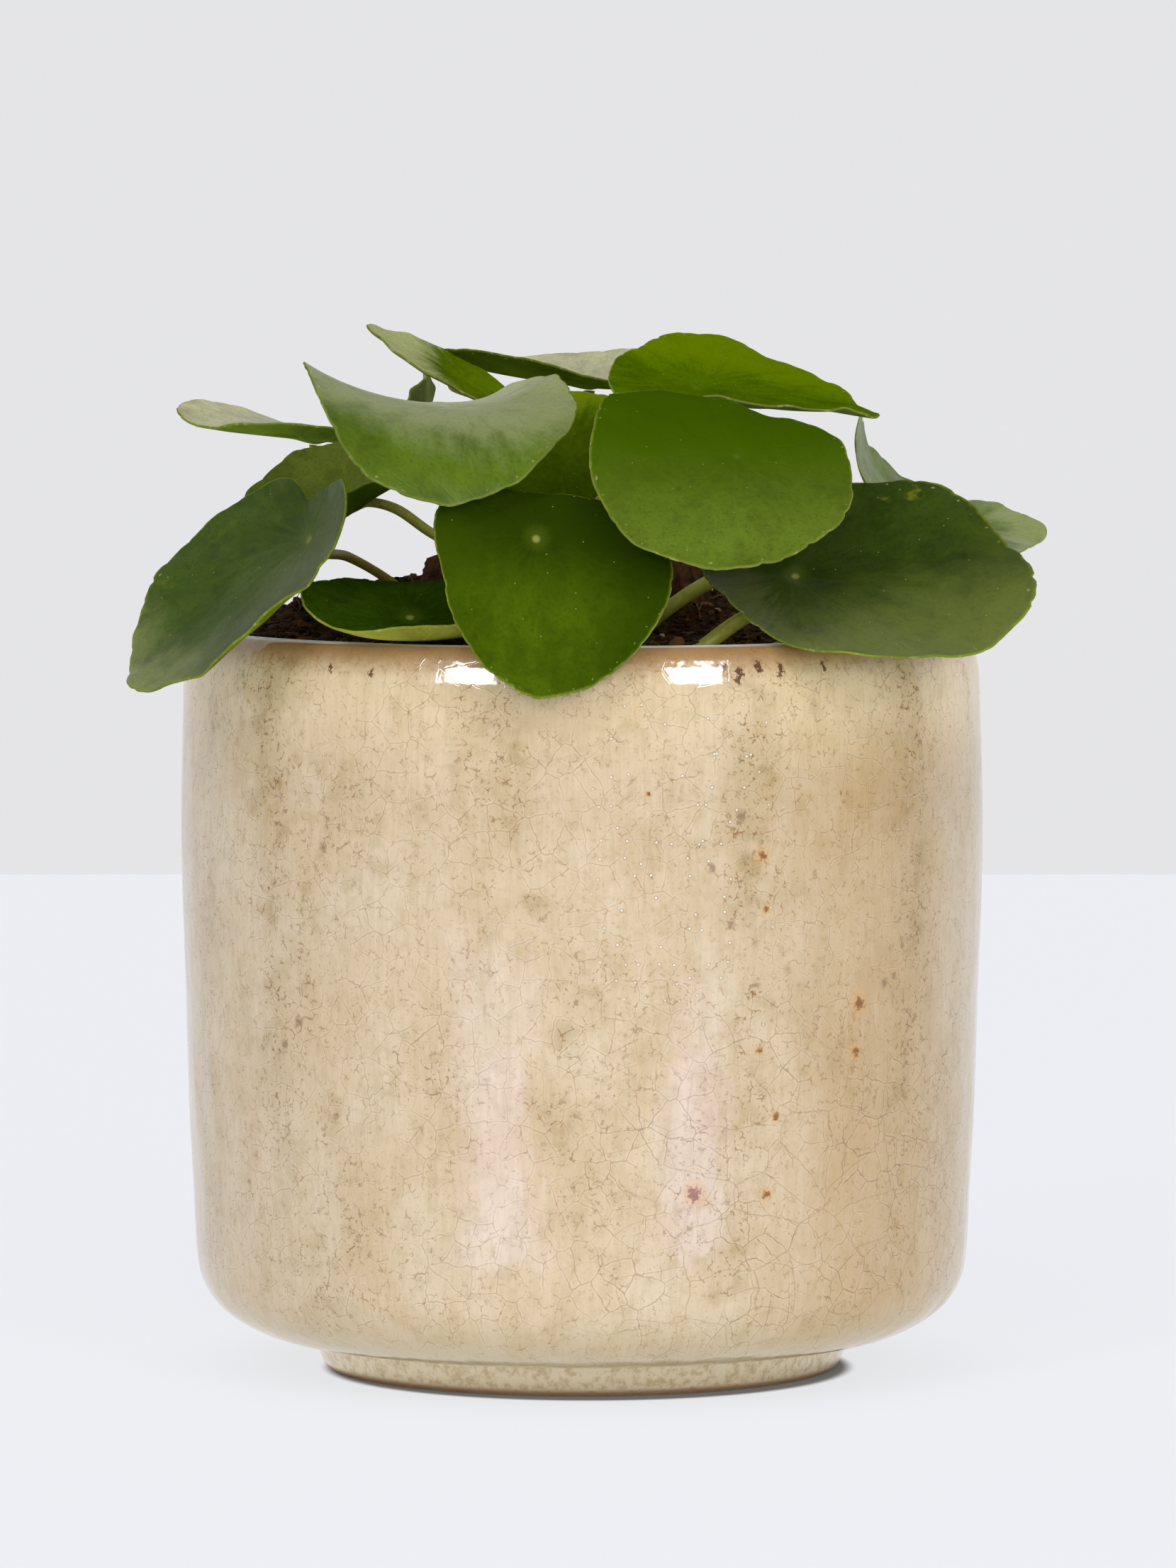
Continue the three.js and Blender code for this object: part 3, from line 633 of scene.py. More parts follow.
def leaf_under(name):
    g = Graph("leaf_under_" + name)
    _, _, plan, r, angle, turn, rho = leaf_places(g, 7.3 * number_of(name))
    base = srgb(*LOOKS[name]["under"])
    light = lighter(base, 1.3, 0.02)
    broad = plan.noise(9, 3)
    coat = Coat(g, broad.step(0.3, 0.7), darker(base, 0.75), light)
    fine = plan.noise(0.8, 3, 0.6)
    coat.lay(fine.step(0.4, 0.7, 0, 0.3), light)
    crook = (plan.noise(9, 1) - 0.5) * 1.1
    vein = vein_lines(angle, r, crook, 0.15, 0.8) * rho.fall(0.7, 1)
    coat.lay(vein * 0.4, light)
    edge = rho.step(0.985, 0.999)
    blotch = plan.noise(1.2, 2).step(0.55, 0.7)
    coat.lay(edge * 0.25, (140, 150, 66))
    coat.lay(edge * blotch * 0.4, (190, 186, 120))
    coat.lay(rim_dots(plan, turn, rho), (214, 210, 150))
    height = vein * 0.12 + (broad - 0.5) * 0.3 + (fine - 0.5) * 0.03
    return leaf_skin(g, coat, height, Roughness=0.55, Specular_IOR_Level=0.0)


# Petioles

def soil_height(x, y):
    height = SOIL_EDGE
    for mound in (LEFT_MOUND, RIGHT_MOUND, BACK_MOUND):
        near = ((x - mound["x"]) / mound["wide"]) ** 2 + ((y - mound["y"]) / mound["deep"]) ** 2
        height = height + mound["high"] * np.exp(-near)
    clods = np.sin(0.31 * x + 0.8) * np.cos(0.27 * y) + np.sin(0.55 * x - 0.43 * y)
    return height + CLOD_HEIGHT * clods * 0.5


def smooth_path(points, steps):
    """A centripetal curve through the points, even in its parameter."""
    points = [np.array(p, float) for p in points]
    path = []
    for s in range(steps + 1):
        p = (len(points) - 1) * s / steps
        i = min(int(p), len(points) - 2)
        w = p - i
        x1, x2 = points[i], points[i + 1]
        x0 = points[i - 1] if i > 0 else 2 * x1 - x2
        x3 = points[i + 2] if i + 2 < len(points) else 2 * x2 - x1
        d0, d1, d2 = (max(1e-4, np.linalg.norm(b - a) ** 0.5) for a, b in ((x0, x1), (x1, x2), (x2, x3)))
        t1 = ((x1 - x0) / d0 - (x2 - x0) / (d0 + d1) + (x2 - x1) / d1) * d1
        t2 = ((x2 - x1) / d1 - (x3 - x1) / (d1 + d2) + (x3 - x2) / d2) * d1
        path.append(x1 + t1 * w + (-3 * x1 + 3 * x2 - 2 * t1 - t2) * w ** 2
                    + (2 * x1 - 2 * x2 + t1 + t2) * w ** 3)
    return np.array(path)


def stem_middle(stem, z):
    """The middle of a stem at a height; above the soil it leans."""
    above = max(0, z - float(soil_height(stem["x"], stem["y"]))) / 10
    return stem["x"] + stem["lean"][0] * above, stem["y"] + stem["lean"][1] * above, z


def petiole_points(petiole, leaf):
    _, _, up = axes_of(leaf)
    end = np.array(leaf["at"]) - up * (NAVEL_DEPTH + BLADE_THICKNESS + 0.3)
    before = end - up * petiole["run"]
    if "stem" in petiole:
        direction, z = petiole["stem"]
        out = np.array([math.cos(math.radians(direction)), math.sin(math.radians(direction)), 0])
        start = np.array(stem_middle(MAIN_STEM, z)) + out * (MAIN_STEM["radius"] + STEM_GAP)
        points = [start, start + out * 1.5]
    else:
        foot = np.array(petiole["foot"], float)
        points = [foot, foot + (np.array(petiole["through"][0]) - foot) * 0.55]
    return points + [np.array(p, float) for p in petiole["through"]] + [before, end]


def tube(path, radii, sides):
    """Rings of points along a path, turned as little as possible from one to the next."""
    tangents = np.gradient(path, axis=0)
    tangents /= np.linalg.norm(tangents, axis=1)[:, None]
    side = np.cross(tangents[0], [0.3, 0.2, 1])
    rings = []
    for point, tangent, radius in zip(path, tangents, radii):
        side = side - tangent * side.dot(tangent)
        side /= np.linalg.norm(side)
        other = np.cross(tangent, side)
        for j in range(sides):
            a = 2 * math.pi * j / sides
            rings.append(point + radius * (side * math.cos(a) + other * math.sin(a)))
    return rings


def petiole_piece(name, petiole, leaf, material):
    sides, steps = 16, 56
    path = smooth_path(petiole_points(petiole, leaf), steps)
    share = np.linspace(0, 1, steps + 1)
    swell = 1 + 0.22 * np.exp(-((1 - share) / 0.03) ** 2) + 0.18 * np.exp(-(share / 0.06) ** 2)
    swell = swell + 0.03 * np.sin(17 * share + ord(name))
    points, faces = capped(tube(path, petiole["radius"] * swell, sides), sides, path[-1], path[0])
    settle(make("stalk_" + name, points, faces, [material]), "petiole_" + name)


def petiole_skin(name, low, high, where):
    """A green stalk, browner and darker towards the soil."""
    g = Graph("stalk_skin_" + name)
    p = g.place()
    _, _, z = p.split()
    lines, broad = p.noise(1.1, 3, 0.6), p.noise(7)
    coat = Coat(g, (z + (broad - 0.5) * 8).step(*where), low, high)
    coat.lay(lines.step(0.35, 0.7, 0, 0.6), g.mix(1, coat.colour, (0.7, 0.68, 0.6, 1), "MULTIPLY"))
    return g.finish(coat.colour, (lines - 0.5) * 0.05 + (broad - 0.5) * 0.15, Roughness=0.45,
                    Specular_IOR_Level=0.2, Subsurface_Weight=0.15, Subsurface_Radius=(1, 1.2, 0.4),
                    Subsurface_Scale=0.0008)


# Woody stems

def stem_piece(name, stem, material, seed, rough=0.5):
    """A woody trunk with knots, lumps and cracks, rounded off at its top and sunk in its hole in the soil."""
    sides, rows = 56, 60
    foot = float(soil_height(stem["x"], stem["y"])) - HOLE_DEPTH + SOIL_GAP
    points = []
    for i in range(rows):
        level = i / (rows - 1)
        z = foot + (stem["top"] - foot) * level
        radius = stem["radius"] * np.interp(level, [0, 0.6, 0.82, 1], [1, 1, 0.93, 0.72])
        at_x, at_y, _ = stem_middle(stem, z)
        knot = 0.35 * math.exp(-(((z * 0.22 + seed) % 1 - 0.5) / 0.12) ** 2)
        for x, y, _ in ring(1, z, sides):
            lump = noise.noise(Vector((x * 1.3 + seed, y * 1.3, z * 0.22))) * 0.9
            grain = noise.noise(Vector((x * 4.5 + seed, y * 4.5, z * 0.5))) * 0.55
            crumb_of_bark = noise.noise(Vector((x * 9, y * 9 + seed, z * 1.6))) * 0.3
            r = radius + rough * (lump + grain + crumb_of_bark + knot - 0.35)
            points.append((at_x + r * x, at_y + r * y, z))
    top = stem_middle(stem, stem["top"])[:2] + (stem["top"] + 0.8,)
    points, faces = capped(points, sides, top, (stem["x"], stem["y"], foot))
    settle(make(name + "_bark", points, faces, [material]), name)


def bark_skin(name, dark, mid, light):
    g = Graph("bark_" + name)
    p = g.place()
    x, y, z = p.split()
    stretched = g.vector(x, y, z * 0.45)
    grain = stretched.noise(1.4, 5, 0.65, 0.3)
    flakes, _ = stretched.warp(p, 2.5, 1.5).cells(1.8, "3D")
    coat = Coat(g, grain.step(0.32, 0.62), dark, mid)
    coat.lay(p.noise(4.5).step(0.5, 0.75, 0, 0.6), light)
    coat.lay(flakes.fall(0.05, 0.3) * 0.4, light)
    height = (grain - 0.5) * 0.8 - flakes * 0.25
    return g.finish(coat.colour, height, Roughness=0.8, Specular_IOR_Level=0.12)


# Soil

def soil_top(x, y):
    """The heaped mix with its clods and crumbs."""
    v = Vector((x, y, 0))
    clod = noise.noise(v / 5.5) * 1.1 + noise.noise(v / 2.6 + Vector((9, 3, 1))) * 0.75
    grit = noise.noise(v / 1.15 + Vector((2, 7, 5))) * 0.55 + noise.noise(v / 0.6 + Vector((4, 1, 8))) * 0.25
    return float(soil_height(x, y)) + clod + grit


def inner_radius(z):
    profile = [(r, h) for r, h in outer_profile() if h > FOOT_HEIGHT]
    return float(np.interp(z, [h for _, h in profile], [r for r, _ in profile])) - POT_WALL


def soil_piece(material):
    """The mix fills the pot: rings up its wall, then rings inwards over the heaped top."""
    sides, rows = 300, 96
    edge = POT_LIP_RADIUS - 3.8 - SOIL_GAP
    walls = [(inner_radius(near) - inward, z) for near, inward, z in (
        (12, 6.6, 9.3), (14, 2.2, 12.4), (18, SOIL_GAP, 18.2), (28, SOIL_GAP, 28), (60, SOIL_GAP, 60),
        (96, SOIL_GAP, 96), (118, SOIL_GAP, 118))] + [(edge, SOIL_EDGE - 1.8)]
    points = []
    for r, z in walls:
        points += ring(r, z, sides)
    for i in range(rows, 0, -1):
        rough = min(1, (rows - i) / 3 + 0.35)
        for x, y, _ in ring((edge - 0.25) * i / rows, 0, sides):
            smooth = float(soil_height(x, y))
            points.append((x, y, smooth + (soil_top(x, y) - smooth) * rough))
    points, faces = capped(points, sides, (0, 0, soil_top(0, 0)), (0, 0, walls[0][1]))
    piece = make("potting_mix", points, faces, [material], marks={"tone": [0.3] * len(points)})
    settle(piece, "soil")


def lump_form():
    """A cube whose six sides are each drawn out to a tip: its points, and its faces turned outwards."""
    points = [(-1, -1, -1), (1, -1, -1), (1, 1, -1), (-1, 1, -1), (-1, -1, 1), (1, -1, 1), (1, 1, 1),
              (-1, 1, 1), (0, 0, -1.45), (0, 0, 1.45), (1.45, 0, 0), (-1.45, 0, 0), (0, 1.45, 0),
              (0, -1.45, 0)]
    sides = (((0, 1, 2, 3), 8), ((4, 5, 6, 7), 9), ((1, 2, 6, 5), 10), ((0, 3, 7, 4), 11),
             ((3, 2, 6, 7), 12), ((0, 1, 5, 4), 13))
    faces = []
    for corners, tip in sides:
        for a, b in zip(corners, corners[1:] + corners[:1]):
            at_a, at_b, at_tip = (np.array(points[k], float) for k in (a, b, tip))
            if np.cross(at_b - at_a, at_tip - at_a).dot(at_a + at_b + at_tip) < 0:
                a, b = b, a
            faces.append((a, b, tip))
    return points, faces


def crumb(rng, x, y, lump, pale):
    """One crumb, which is the lump made uneven, tilted, turned and laid on the soil, and its tone."""
    size = rng.choice((0.35, 0.4, 0.5, 0.5, 0.7, 0.7, 0.9, 1.3)) * rng.uniform(0.7, 1.3)
    long = rng.uniform(1, 2.2)
    turn, tilt = rng.uniform(0, math.pi), rng.uniform(-0.6, 0.6)
    z = soil_top(x, y) + size * 0.15
    tone = 1.0 if pale else rng.choice((0.0, 0.1, 0.2, 0.2, 0.3, 0.5, 0.6, 0.75))
    points = []
    for px, py, pz in lump:
        px = px * size * 0.5 * long * rng.uniform(0.75, 1.2)
        py = py * size * 0.5 * rng.uniform(0.75, 1.2)
        pz = pz * size * 0.4 * rng.uniform(0.75, 1.2)
        px, pz = px * math.cos(tilt) - pz * math.sin(tilt), px * math.sin(tilt) + pz * math.cos(tilt)
        points.append((x + px * math.cos(turn) - py * math.sin(turn),
                       y + px * math.sin(turn) + py * math.cos(turn), z + pz))
    return points, tone


def fibre_path(rng, x, y, limit):
    """The points of a peat fibre that arches over the soil, as far as it stays in the pot."""
    length, heading = rng.uniform(2.5, 8), rng.uniform(0, 2 * math.pi)
    curve, lift = rng.uniform(-0.25, 0.25), rng.uniform(0.1, 1.1)
    path = []
    for s in range(FIBRE_POINTS):
        share = s / (FIBRE_POINTS - 1)
        px, py = x + length * share * math.cos(heading), y + length * share * math.sin(heading)
        if math.hypot(px, py) > limit:
            break
        path.append((px, py, soil_top(px, py) + 0.15 + lift * math.sin(math.pi * share)))
        heading += curve
    return path


def crumbs_piece(material):
    """Crumbs, bits of bark and peat fibres that lie on the soil, in one mesh."""
    rng = random.Random(5)
    points, faces, tones = [], [], []
    lump, hull = lump_form()
    limit = POT_LIP_RADIUS - 5.6

    def spot():
        r, a = limit * math.sqrt(rng.random()), 2 * math.pi * rng.random()
        return r * math.cos(a), r * math.sin(a)

    for k in range(CRUMBS):
        crumb_points, tone = crumb(rng, *spot(), lump, k <= PALE_CRUMBS)
        faces += [tuple(len(points) + q for q in face) for face in hull]
        points += crumb_points
        tones += [tone] * len(crumb_points)
    for _ in range(FIBRES):
        path = fibre_path(rng, *spot(), limit)
        n = len(path)
        if n < 4:
            continue
        rings = tube(np.array(path), [rng.uniform(0.07, 0.16)] * n, FIBRE_SIDES)
        fibre, sides = capped(rings, FIBRE_SIDES, path[-1], path[0])
        faces += [tuple(len(points) + q for q in face) for face in sides]
        points += fibre
        tones += [rng.choice((0.45, 0.7, 0.9))] * len(fibre)
    piece = make("soil_crumbs", points, faces, [material], smooth=False, marks={"tone": tones})
    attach(piece, "root")


def soil_look():
    g = Graph("potting_mix_look")
    p = g.place()
    tone = g.put("ShaderNodeAttribute", attribute_name="tone", output="Fac")
    grain = p.noise(0.9, 4, 0.7)
    coat = Coat(g, grain.step(0.35, 0.65), (20, 12, 6), (76, 48, 22))
    coat.lay(p.noise(4, 3).step(0.5, 0.72, 0, 0.55), (108, 70, 32))
    coat.lay(tone.step(0.45, 0.7, 0, 0.75), (130, 84, 40))
    coat.lay(tone.step(0.72, 0.85, 0, 0.8), (146, 100, 52))
    coat.lay(tone.step(0.94, 1), (196, 172, 130))
    return g.finish(coat.colour, (grain - 0.5) * 0.6, Roughness=0.85, Specular_IOR_Level=0.2)


# The pot

def outer_profile():
    r = POT_BELLY_RADIUS
    return [
        (FOOT_RADIUS - 0.8, 0), (FOOT_RADIUS, 0.8), (FOOT_RADIUS + 1.6, FOOT_HEIGHT - 1),
        (FOOT_RADIUS + 2.2, FOOT_HEIGHT), (r - 17, FOOT_HEIGHT + 0.8), (r - 11.5, FOOT_HEIGHT + 3),
        (r - 7, FOOT_HEIGHT + 6.3), (r - 4.2, FOOT_HEIGHT + 10.5), (r - 3, FOOT_HEIGHT + 16),
        (r - 2.3, 34), (r - 1.5, 48), (r - 0.8, 69), (r - 0.1, 90), (r, 101), (r - 0.2, 113),
        (r - 0.5, 122), (r - 0.75, 128), (r - 1.15, 131.2),
    ]


def pot_piece(material):
    lip = [(POT_LIP_RADIUS + 1.7, POT_HEIGHT - 3.5), (POT_LIP_RADIUS + 0.9, POT_HEIGHT - 1.5),
           (POT_LIP_RADIUS - 0.2, POT_HEIGHT - 0.35), (POT_LIP_RADIUS - 1.6, POT_HEIGHT),
           (POT_LIP_RADIUS - 3, POT_HEIGHT - 0.8), (POT_LIP_RADIUS - 3.8, POT_HEIGHT - 3)]
    inside = [(inner_radius(z), z) for z in (118, 96, 60, 28, 18)]
    floor = [(inner_radius(14) - 1.5, 12), (inner_radius(12) - 6, 9)]
    corners = outer_profile() + lip + inside + floor
    outline = smooth_path([(r, z, 0) for r, z in corners], (len(corners) - 1) * 8)
    sides, low, high = 256, 12, 134
    points = []
    for r, z, _ in outline:
        reach = min(r, POT_BELLY_RADIUS)
        for x, y, _ in ring(1, z, sides):
            uneven = 0
            if low < z < high and r > 66:
                uneven = (noise.noise(Vector((x * 3.2, y * 3.2, z / 60))) * 0.28
                          + noise.noise(Vector((x * 9, y * 9, z / 45))) * 0.1 - 0.3)
                uneven *= min(1, (z - low) / 12, (high - z) / 10)
            points.append(((reach + uneven) * x, (reach + uneven) * y, z))
    points, faces = capped(points, sides, (0, 0, 9), (0, 0, 0))
    settle(make("glazed_pot", points, faces, [material]), "pot")


OLIVE_GLAZE = (188, 168, 122)
# Upright bands where the glaze is thick with specks: degrees round from the front, half width, share
SPECKLED = ((-49, 12, 0.95), (24, 12, 0.85), (54, 13, 0.9), (-16, 8, 0.5), (4, 6, 0.4))
# Rusty iron spots and dark specks on the glaze: degrees round from the front, height, radius
IRON_SPOTS = ((25.9, 100.2, 0.75), (26.4, 90.6, 0.5), (16.2, 39.5, 1.15), (27.1, 38.8, 0.7),
              (42.8, 72.6, 1.1), (28.4, 53.1, 0.55), (25.6, 65.1, 0.45), (42.2, 63.7, 0.7),
              (9.3, 111.8, 0.35))
DARK_SPECKS = ((22.5, 107.3, 0.75), (18.2, 98.2, 0.6), (-43.9, 69.2, 0.7), (-46.8, 64.6, 0.6),
               (47.7, 75.9, 0.6), (21.0, 87.9, 0.55), (49.8, 77.0, 0.45), (-38.6, 101.0, 0.5))
# Dark breaks below the lip: degrees round from the front, height, length
LIP_BREAKS = ((17.5, 133.4, 2.4), (20.2, 134.2, 1.8), (22.4, 132.6, 2.6), (25.6, 134.2, 1.9),
              (29.2, 133.4, 2.2), (36.5, 133.8, 1.5), (-31.0, 133.0, 1.4), (-38.0, 133.4, 1.6))


def round_wall(degrees):
    """Millimetres round the wall from its front."""
    return math.radians(degrees) * POT_BELLY_RADIUS


def glaze_ground(g, p, u, z):
    """Cream with soft patches and faint upright runs of tanner and greener glaze, painted lighter at the
    shoulder to lift the leaves' shade there.
    """
    x, y, _ = p.split()
    patch = g.vector(x * 0.075, y * 0.075, z * 0.045).noise(1, 4, 0.6, 0.3)
    coat = Coat(g, patch.step(0.36, 0.62), (227, 206, 175), (233, 215, 188))
    streaks = g.vector(x * 0.2, y * 0.2, z * 0.05).noise(1, 3, 0.6, 0.3)
    coat.lay(streaks.step(0.5, 0.74, 0, 0.26), OLIVE_GLAZE)
    mottle = p.shift((7, 3, 1)).noise(3.4, 4, 0.66)
    coat.lay(mottle.step(0.45, 0.7, 0, 0.3), OLIVE_GLAZE)
    right = u.step(30, 58) * u.step(64, 92, 1, 0.25)
    tan = p.shift((40, 10, 5)).noise(16, 3)
    coat.lay(tan.step(0.42, 0.68, 0, 0.18) + right * 0.62, (206, 171, 121))
    # painted light: the shoulder is lightened, most on the right, against the shade of the leaves over it
    painted_light_at_shoulder = z.step(110, 130) * u.step(24, 62, 0.45, 0.98) * u.step(-50, -68, 1, 1.5)
    coat.lay(painted_light_at_shoulder, (255, 232, 190))
    return coat


def glaze_specks(g, coat, p, u, z, pin, grit, cloud):
    """Pinprick specks and grit, thick in some bands; gives back how thick they are."""
    x, y, _ = p.split()
    drift = g.vector(x * 0.06 + 3, y * 0.06, z * 0.03).noise(1, 3, 0.6)
    bands = drift.step(0.45, 0.68, 0.2, 0.62)
    for degrees, wide, share in SPECKLED:
        off = abs(u - round_wall(degrees) + (drift - 0.5) * 14)
        band = off.fall(0, wide) * p.noise(12, 3).step(0.32, 0.55, 0.35, 1)
        bands = g.math("MAXIMUM", bands, band * z.step(40, 66, 0.4, 1) * share)
    coat.lay(bands * 0.46, (184, 158, 106))
    coat.lay(pin.step(0.62, 0.7) * bands * 0.78, (136, 88, 42))
    coat.lay(grit.step(0.58, 0.68) * bands * 0.8, (126, 90, 46))
    coat.lay(cloud.step(0.48, 0.72) * bands * 0.6, (162, 134, 78))
    combed = g.vector(u * 1.1, z * 0.11, 8).noise(1, 4, 0.62, 0.4)
    coat.lay(combed.step(0.46, 0.7, 0, 0.18), (186, 160, 112))
    coat.lay(combed.step(0.44, 0.3, 0, 0.12), (246, 234, 210))
    return bands


def glaze_crackle(g, coat, p, u, z, bands):
    """Broken bits of fine brown lines, whole pale and tan lines, and a few long cracks; gives back the
    whole lines and the pale ones beside them."""
    wall = g.vector(u, z)
    lines = wall.warp(p, 2.6, 1.7, 2).edges(5.2)
    bit_at = wall.warp(p, 1.4, 1.4, 2)
    corner, _ = bit_at.cells(1.9)
    shown = p.shift((0, 60, 20)).noise(13, 3)
    some = p.shift((60, 0, 20)).noise(4.2, 2)
    torn = p.shift((5, 33, 8)).noise(0.9, 2)
    browned = u.step(-22, 30) * z.fall(46, 82) + 0.15
    crack = lines.fall(0.006, 0.032) * shown.step(0.36, 0.6)
    beside = abs(lines - 0.045).fall(0.008, 0.026) * shown.step(0.3, 0.5)
    bit = (bit_at.edges(1.9).fall(0.03, 0.09) * corner.step(0.42, 0.58) * some.step(0.4, 0.55)
           * torn.step(0.44, 0.56))
    long_crack = g.vector(u * 0.8 + 4, z).warp(p, 9, 4, 2).edges(9).fall(0.004, 0.016)
    coat.lay(beside * 0.12, (250, 240, 218))
    coat.lay(crack * 0.3, (160, 118, 68))
    coat.lay(bit * (bands * 0.75 + 0.24), (150, 98, 50))
    coat.lay(g.math("MINIMUM", crack * browned * 0.3, 1), (140, 104, 66))
    coat.lay(long_crack * g.math("MINIMUM", browned - 0.1, 1) * 0.34, (150, 104, 60))
    return crack, beside


def glaze_pits(g, coat, u, z):
    """Small pits right of the middle, each with a darker ring and a painted white glint."""
    pits, tones = g.vector(u + 3, z + 5).cells(3.1)
    pitted = u.step(-4, 8) * u.fall(30, 42) * z.step(64, 84) * z.fall(126, 130)
    picked = tones.split()[1].step(0.62, 0.64)
    pit_and_glint = pits.fall(0.05, 0.085) * picked * pitted
    coat.lay(pits.fall(0.08, 0.16) * picked * pitted * 0.35, (120, 98, 70))
    # painted highlight: a white glint in each pit
    coat.lay(pit_and_glint * 0.9, (255, 252, 246))
    return pit_and_glint


def glaze_spots(coat, u, z, pin):
    """Iron spots with a rusty halo, and dark specks."""
    for degrees, height, radius in IRON_SPOTS:
        away = ((u - round_wall(degrees)) ** 2 + (z - height) ** 2).root()
        away = away + (pin - 0.5) * radius * 3.6
        coat.lay(away.fall(radius * 0.6, radius * 3.2) * 0.5, (222, 168, 94))
        coat.lay(away.fall(radius * 0.5, radius * 1.4) * 0.9, (142, 82, 22))
    for degrees, height, radius in DARK_SPECKS:
        away = ((u - round_wall(degrees)) ** 2 + ((z - height) * 0.8) ** 2).root()
        away = away + (pin - 0.5) * radius * 4.0
        coat.lay(away.fall(radius * 0.3, radius * 1.9) * 0.6, (118, 88, 54))


def glaze_ends(g, coat, p, u, z, pin, grit, cloud):
    """The lip burns brown, with a painted white highlight along its top and a few dark breaks below it. Low
    down the glaze is painted darker and greener as shade under the belly, and the foot's last edge is bare
    clay; gives back how bare it is."""
    coat.lay((z + (grit - 0.5) * 3).step(131.5, 136.6) * 0.82, (170, 124, 74))
    # painted highlight: a white line along the top of the lip
    coat.lay(z.step(137.55, 137.9) * 0.8, (240, 236, 228))
    crooked = (p.noise(1.1, 3, 0.7) - 0.5) * 4.5
    for degrees, height, length in LIP_BREAKS:
        side = abs(u - round_wall(degrees) + crooked)
        far = ((side * 2.2) ** 2 + (z - height) ** 2).root() + (pin - 0.5)
        coat.lay(far.fall(0.4 * length, 0.85 * length) * 0.9, (92, 50, 24))

    # painted shade: darker, greener glaze low on the belly under its overhang
    coat.lay((z + (cloud - 0.5) * 6).fall(7, 20) * 0.5, (184, 166, 116))
    clay = g.mix(grit.step(0.42, 0.66, 0, 0.7), (252, 236, 202), (206, 178, 124))
    coat.lay(z.fall(5.4, 6.4) * 0.9, clay)
    crease = abs(z - 6.2).fall(0.1, 0.9)
    coat.lay(crease * p.noise(3, 2).step(0.3, 0.6, 0.3, 1) * 0.3, (150, 128, 88))
    bare = (z + (grit - 0.5) * 1.6).fall(0.6, 1.5)
    coat.lay(bare * 0.8, (172, 126, 84))
    return bare


def glaze():
    g = Graph("crackle_glaze")
    p = g.place()
    x, y, z = p.split()
    u = g.math("ARCTAN2", x, -y) * POT_BELLY_RADIUS
    pin = p.noise(0.8, 2, 0.6)
    grit = p.shift((90, 0, 0)).noise(1.8, 3, 0.7)
    cloud = p.shift((20, 70, 0)).noise(5, 3, 0.6)
    coat = glaze_ground(g, p, u, z)
    bands = glaze_specks(g, coat, p, u, z, pin, grit, cloud)
    crack, beside = glaze_crackle(g, coat, p, u, z, bands)
    pit_and_glint = glaze_pits(g, coat, u, z)
    glaze_spots(coat, u, z, pin)
    bare = glaze_ends(g, coat, p, u, z, pin, grit, cloud)
    ripple = g.vector(x * 0.09, y * 0.09, z * 0.06).noise(1, 2)
    height = ((ripple - 0.5) * 0.5 + (p.noise(3.5, 2) - 0.5) * 0.06 - pit_and_glint * 0.05
              - crack * 0.004 + beside * 0.002)
    rough = p.noise(6, 3).step(0.3, 0.7, 0.05, 0.09) + bare * 0.5
    return g.finish(coat.colour, height, Roughness=rough, Specular_IOR_Level=0.55)


# The room

def plain(name, colour, share, glow, painted_foot_shadow=False):
    """A room surface: share is how much light it throws back, glow how much it gives off."""
    g = Graph(name)
    p = g.place()
    if painted_foot_shadow:
        # painted contact shadow: the glow fails in a narrow ring round the pot's foot and, more faintly, a
        # little farther out
        x, y, _ = p.split()
        away = ((x - 1.2) ** 2 + (y + 4.5) ** 2).root()
        glow = glow * away.step(47.2, 50.2, 0.1, 1) * away.step(46, 92, 0.95, 1)
    drift = p.noise(900, 1)
    tint = g.mix(drift.step(0.3, 0.7, 0, 0.015), colour, (1, 1, 1, 1))
    dim = g.mix(1, tint, (share, share, share, 1), "MULTIPLY")
    return g.finish(dim, Roughness=0.9, Emission_Color=tint, Emission_Strength=glow, Specular_IOR_Level=0)


def sheet_of(name, corners, material):
    piece = make(name, corners, [(0, 1, 2, 3)], [material], smooth=False)


def hang(name, kind, colour, power, facing):
    """A light that shines along facing."""
    data = bpy.data.lights.new(name, kind)
    data.color = colour
    data.energy = power
    lamp = bpy.data.objects.new(name, data)
    lamp.rotation_euler = facing.to_track_quat("-Z", "Y").to_euler()
    bpy.context.scene.collection.objects.link(lamp)
    return lamp


def area_light(name, at, towards, size, power, colour, hidden_from):
    lamp = hang(name, "AREA", colour, power, Vector(towards) - Vector(at))
    lamp.data.shape = "RECTANGLE"
    lamp.data.size, lamp.data.size_y = size[0] * MM, size[1] * MM
    lamp.location = Vector(at) * MM
    lamp.visible_camera = False
    setattr(lamp, "visible_" + hidden_from, False)


def from_angle(azimuth, elevation, distance, height=110):
    """A place seen from the pot: degrees right of the camera and above the horizon."""
    a, e = math.radians(azimuth), math.radians(elevation)
    return (distance * math.sin(a) * math.cos(e), -distance * math.cos(a) * math.cos(e),
            height + distance * math.sin(e))


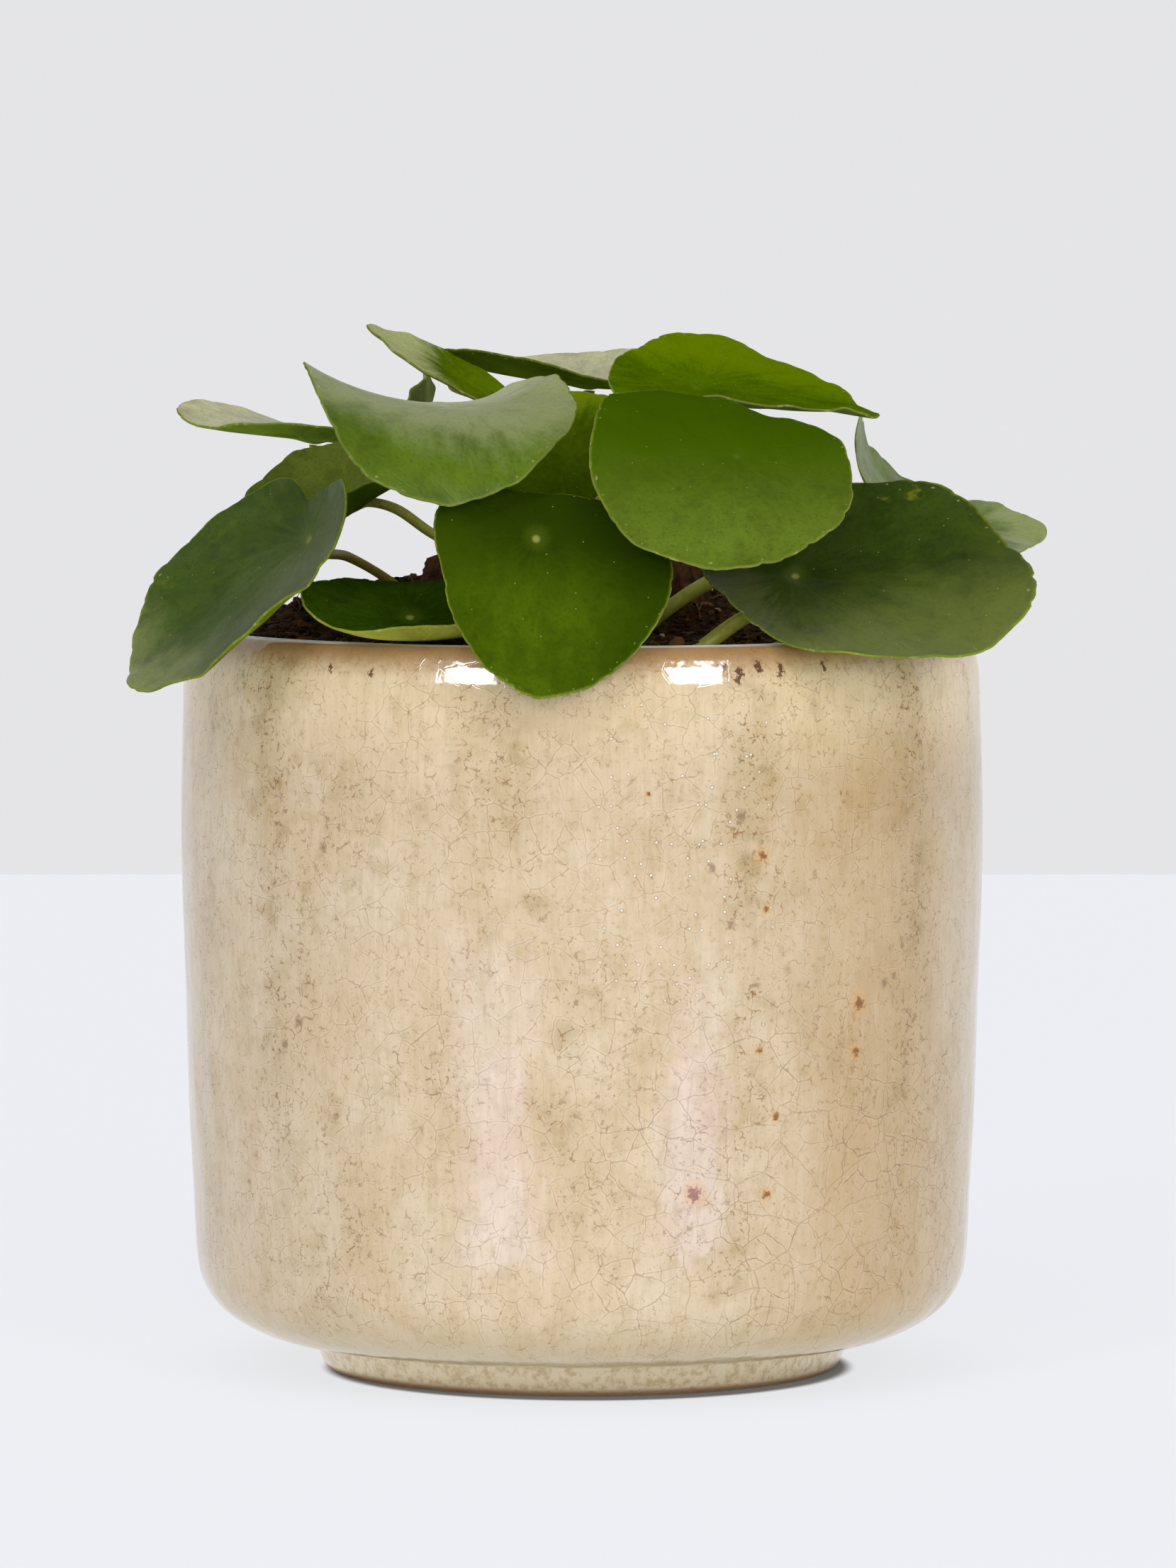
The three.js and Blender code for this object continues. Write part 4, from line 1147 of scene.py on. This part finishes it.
def room():
    # the painted floor ends at the horizon seen in the photo; the wall stands behind the views from the back
    near, horizon, far, high, floor_side, side = -1500, 1186, 2700, 4100, 2600, 5900
    # the floor carries a painted contact shadow round the pot's foot
    floor = plain("floor_paint", (237, 239, 244), 0.2, 0.868, painted_foot_shadow=True)
    wall = plain("wall_paint", (229, 229, 231), 0.0, 1.0)
    sheet_of("floor", [(-floor_side, near, 0), (floor_side, near, 0), (floor_side, horizon, 0),
                       (-floor_side, horizon, 0)], floor)
    sheet_of("wall_foot", [(-floor_side, horizon, 0), (floor_side, horizon, 0), (side, far, 0),
                           (-side, far, 0)], wall)
    sheet_of("wall", [(-side, far, 0), (side, far, 0), (side, far, high), (-side, far, high)], wall)
    world = bpy.data.worlds.new("studio")
    world.use_nodes = True
    sky = world.node_tree.nodes["Background"].inputs
    sky[0].default_value, sky[1].default_value = (1.0, 0.98, 0.95, 1), 0.18
    bpy.context.scene.world = world

    # two soft boxes and a low one light the part; the two shine lights only mirror in the glaze under the
    # lip, and the cards only mirror as the two soft reflections low on the pot
    warm, white, rosy = (1.0, 0.985, 0.96), (1, 1, 1), (0.6, 0.56, 1.0)
    middle = (0, 0, 110)
    for name, at, towards, size, power, colour, hidden_from in (
            ("soft_left", from_angle(-32, 29, 2600), middle, (540, 1080), 9.5, warm, "glossy"),
            ("soft_right", from_angle(33.5, 29, 2600), middle, (860, 1080), 13, warm, "glossy"),
            ("low_front", from_angle(6, 9, 2600), (0, 0, 90), (2000, 700), 16, warm, "glossy"),
            ("shine_left", from_angle(-33, 24.7, 2580), middle, (720, 700), 42, white, "diffuse"),
            ("shine_right", from_angle(35.5, 24.7, 2580), middle, (690, 700), 48, white, "diffuse"),
            ("card_left", (-60, -170, 33), (-6, 0, 44), (68, 70), 0.018, rosy, "diffuse"),
            ("card_inner", (-57, -168, 27), (-6, 0, 40), (40, 44), 0.009, rosy, "diffuse"),
            ("card_right", (84, -170, 26.5), (0, 0, 37), (50, 40), 0.011, rosy, "diffuse"),
            ("card_narrow", (85, -168, 31), (0, 0, 41), (30, 56), 0.008, rosy, "diffuse")):
        area_light(name, at, towards, size, power, colour, hidden_from)
    sun = hang("daylight", "SUN", warm, 0.55, -Vector(from_angle(-16, 56, 1000, 0)))
    sun.data.angle = math.radians(40)
    sun.visible_glossy = False


def camera():
    data = bpy.data.cameras.new("camera")
    data.sensor_fit = "AUTO"
    data.sensor_width = 36
    data.lens = FOCAL_PX * 36 / PHOTO_HEIGHT
    data.clip_end = 100
    eye = bpy.data.objects.new("camera", data)
    eye.location = Vector(CAMERA_AT) * MM
    eye.rotation_euler = (math.radians(90 - CAMERA_PITCH), 0, 0)
    bpy.context.scene.collection.objects.link(eye)
    bpy.context.scene.camera = eye


camera()
room()
bpy.context.scene.view_settings.view_transform = "Standard"

pot_piece(glaze())
mix = soil_look()
soil_piece(mix)
crumbs_piece(mix)
stem_piece("stem_main", MAIN_STEM, bark_skin("main", (52, 32, 20), (96, 62, 40), (130, 96, 66)), 3.1)
stem_piece("stem_right", RIGHT_STEM, bark_skin("right", (36, 20, 10), (92, 57, 30), (124, 88, 52)), 5.7, 0.8)
stem_piece("stem_stub_left", LEFT_STUB,
           bark_skin("stub", (32, 18, 10), (84, 52, 26), (122, 84, 46)), 8.3, 1.0)
young = petiole_skin("green", (138, 132, 50), (172, 172, 76), (140, 162))
olive_stalk = petiole_skin("olive", (120, 106, 40), (160, 146, 58), (138, 160))
thick_stalk = petiole_skin("thick", (176, 180, 74), (196, 200, 96), (134, 150))
for name, petiole in PETIOLES.items():
    skin = thick_stalk if name in "fo" else olive_stalk if name == "a" else young
    petiole_piece(name, petiole, LEAVES[name], skin)
for name, leaf in LEAVES.items():
    blade(name, leaf, 1.9 * number_of(name))
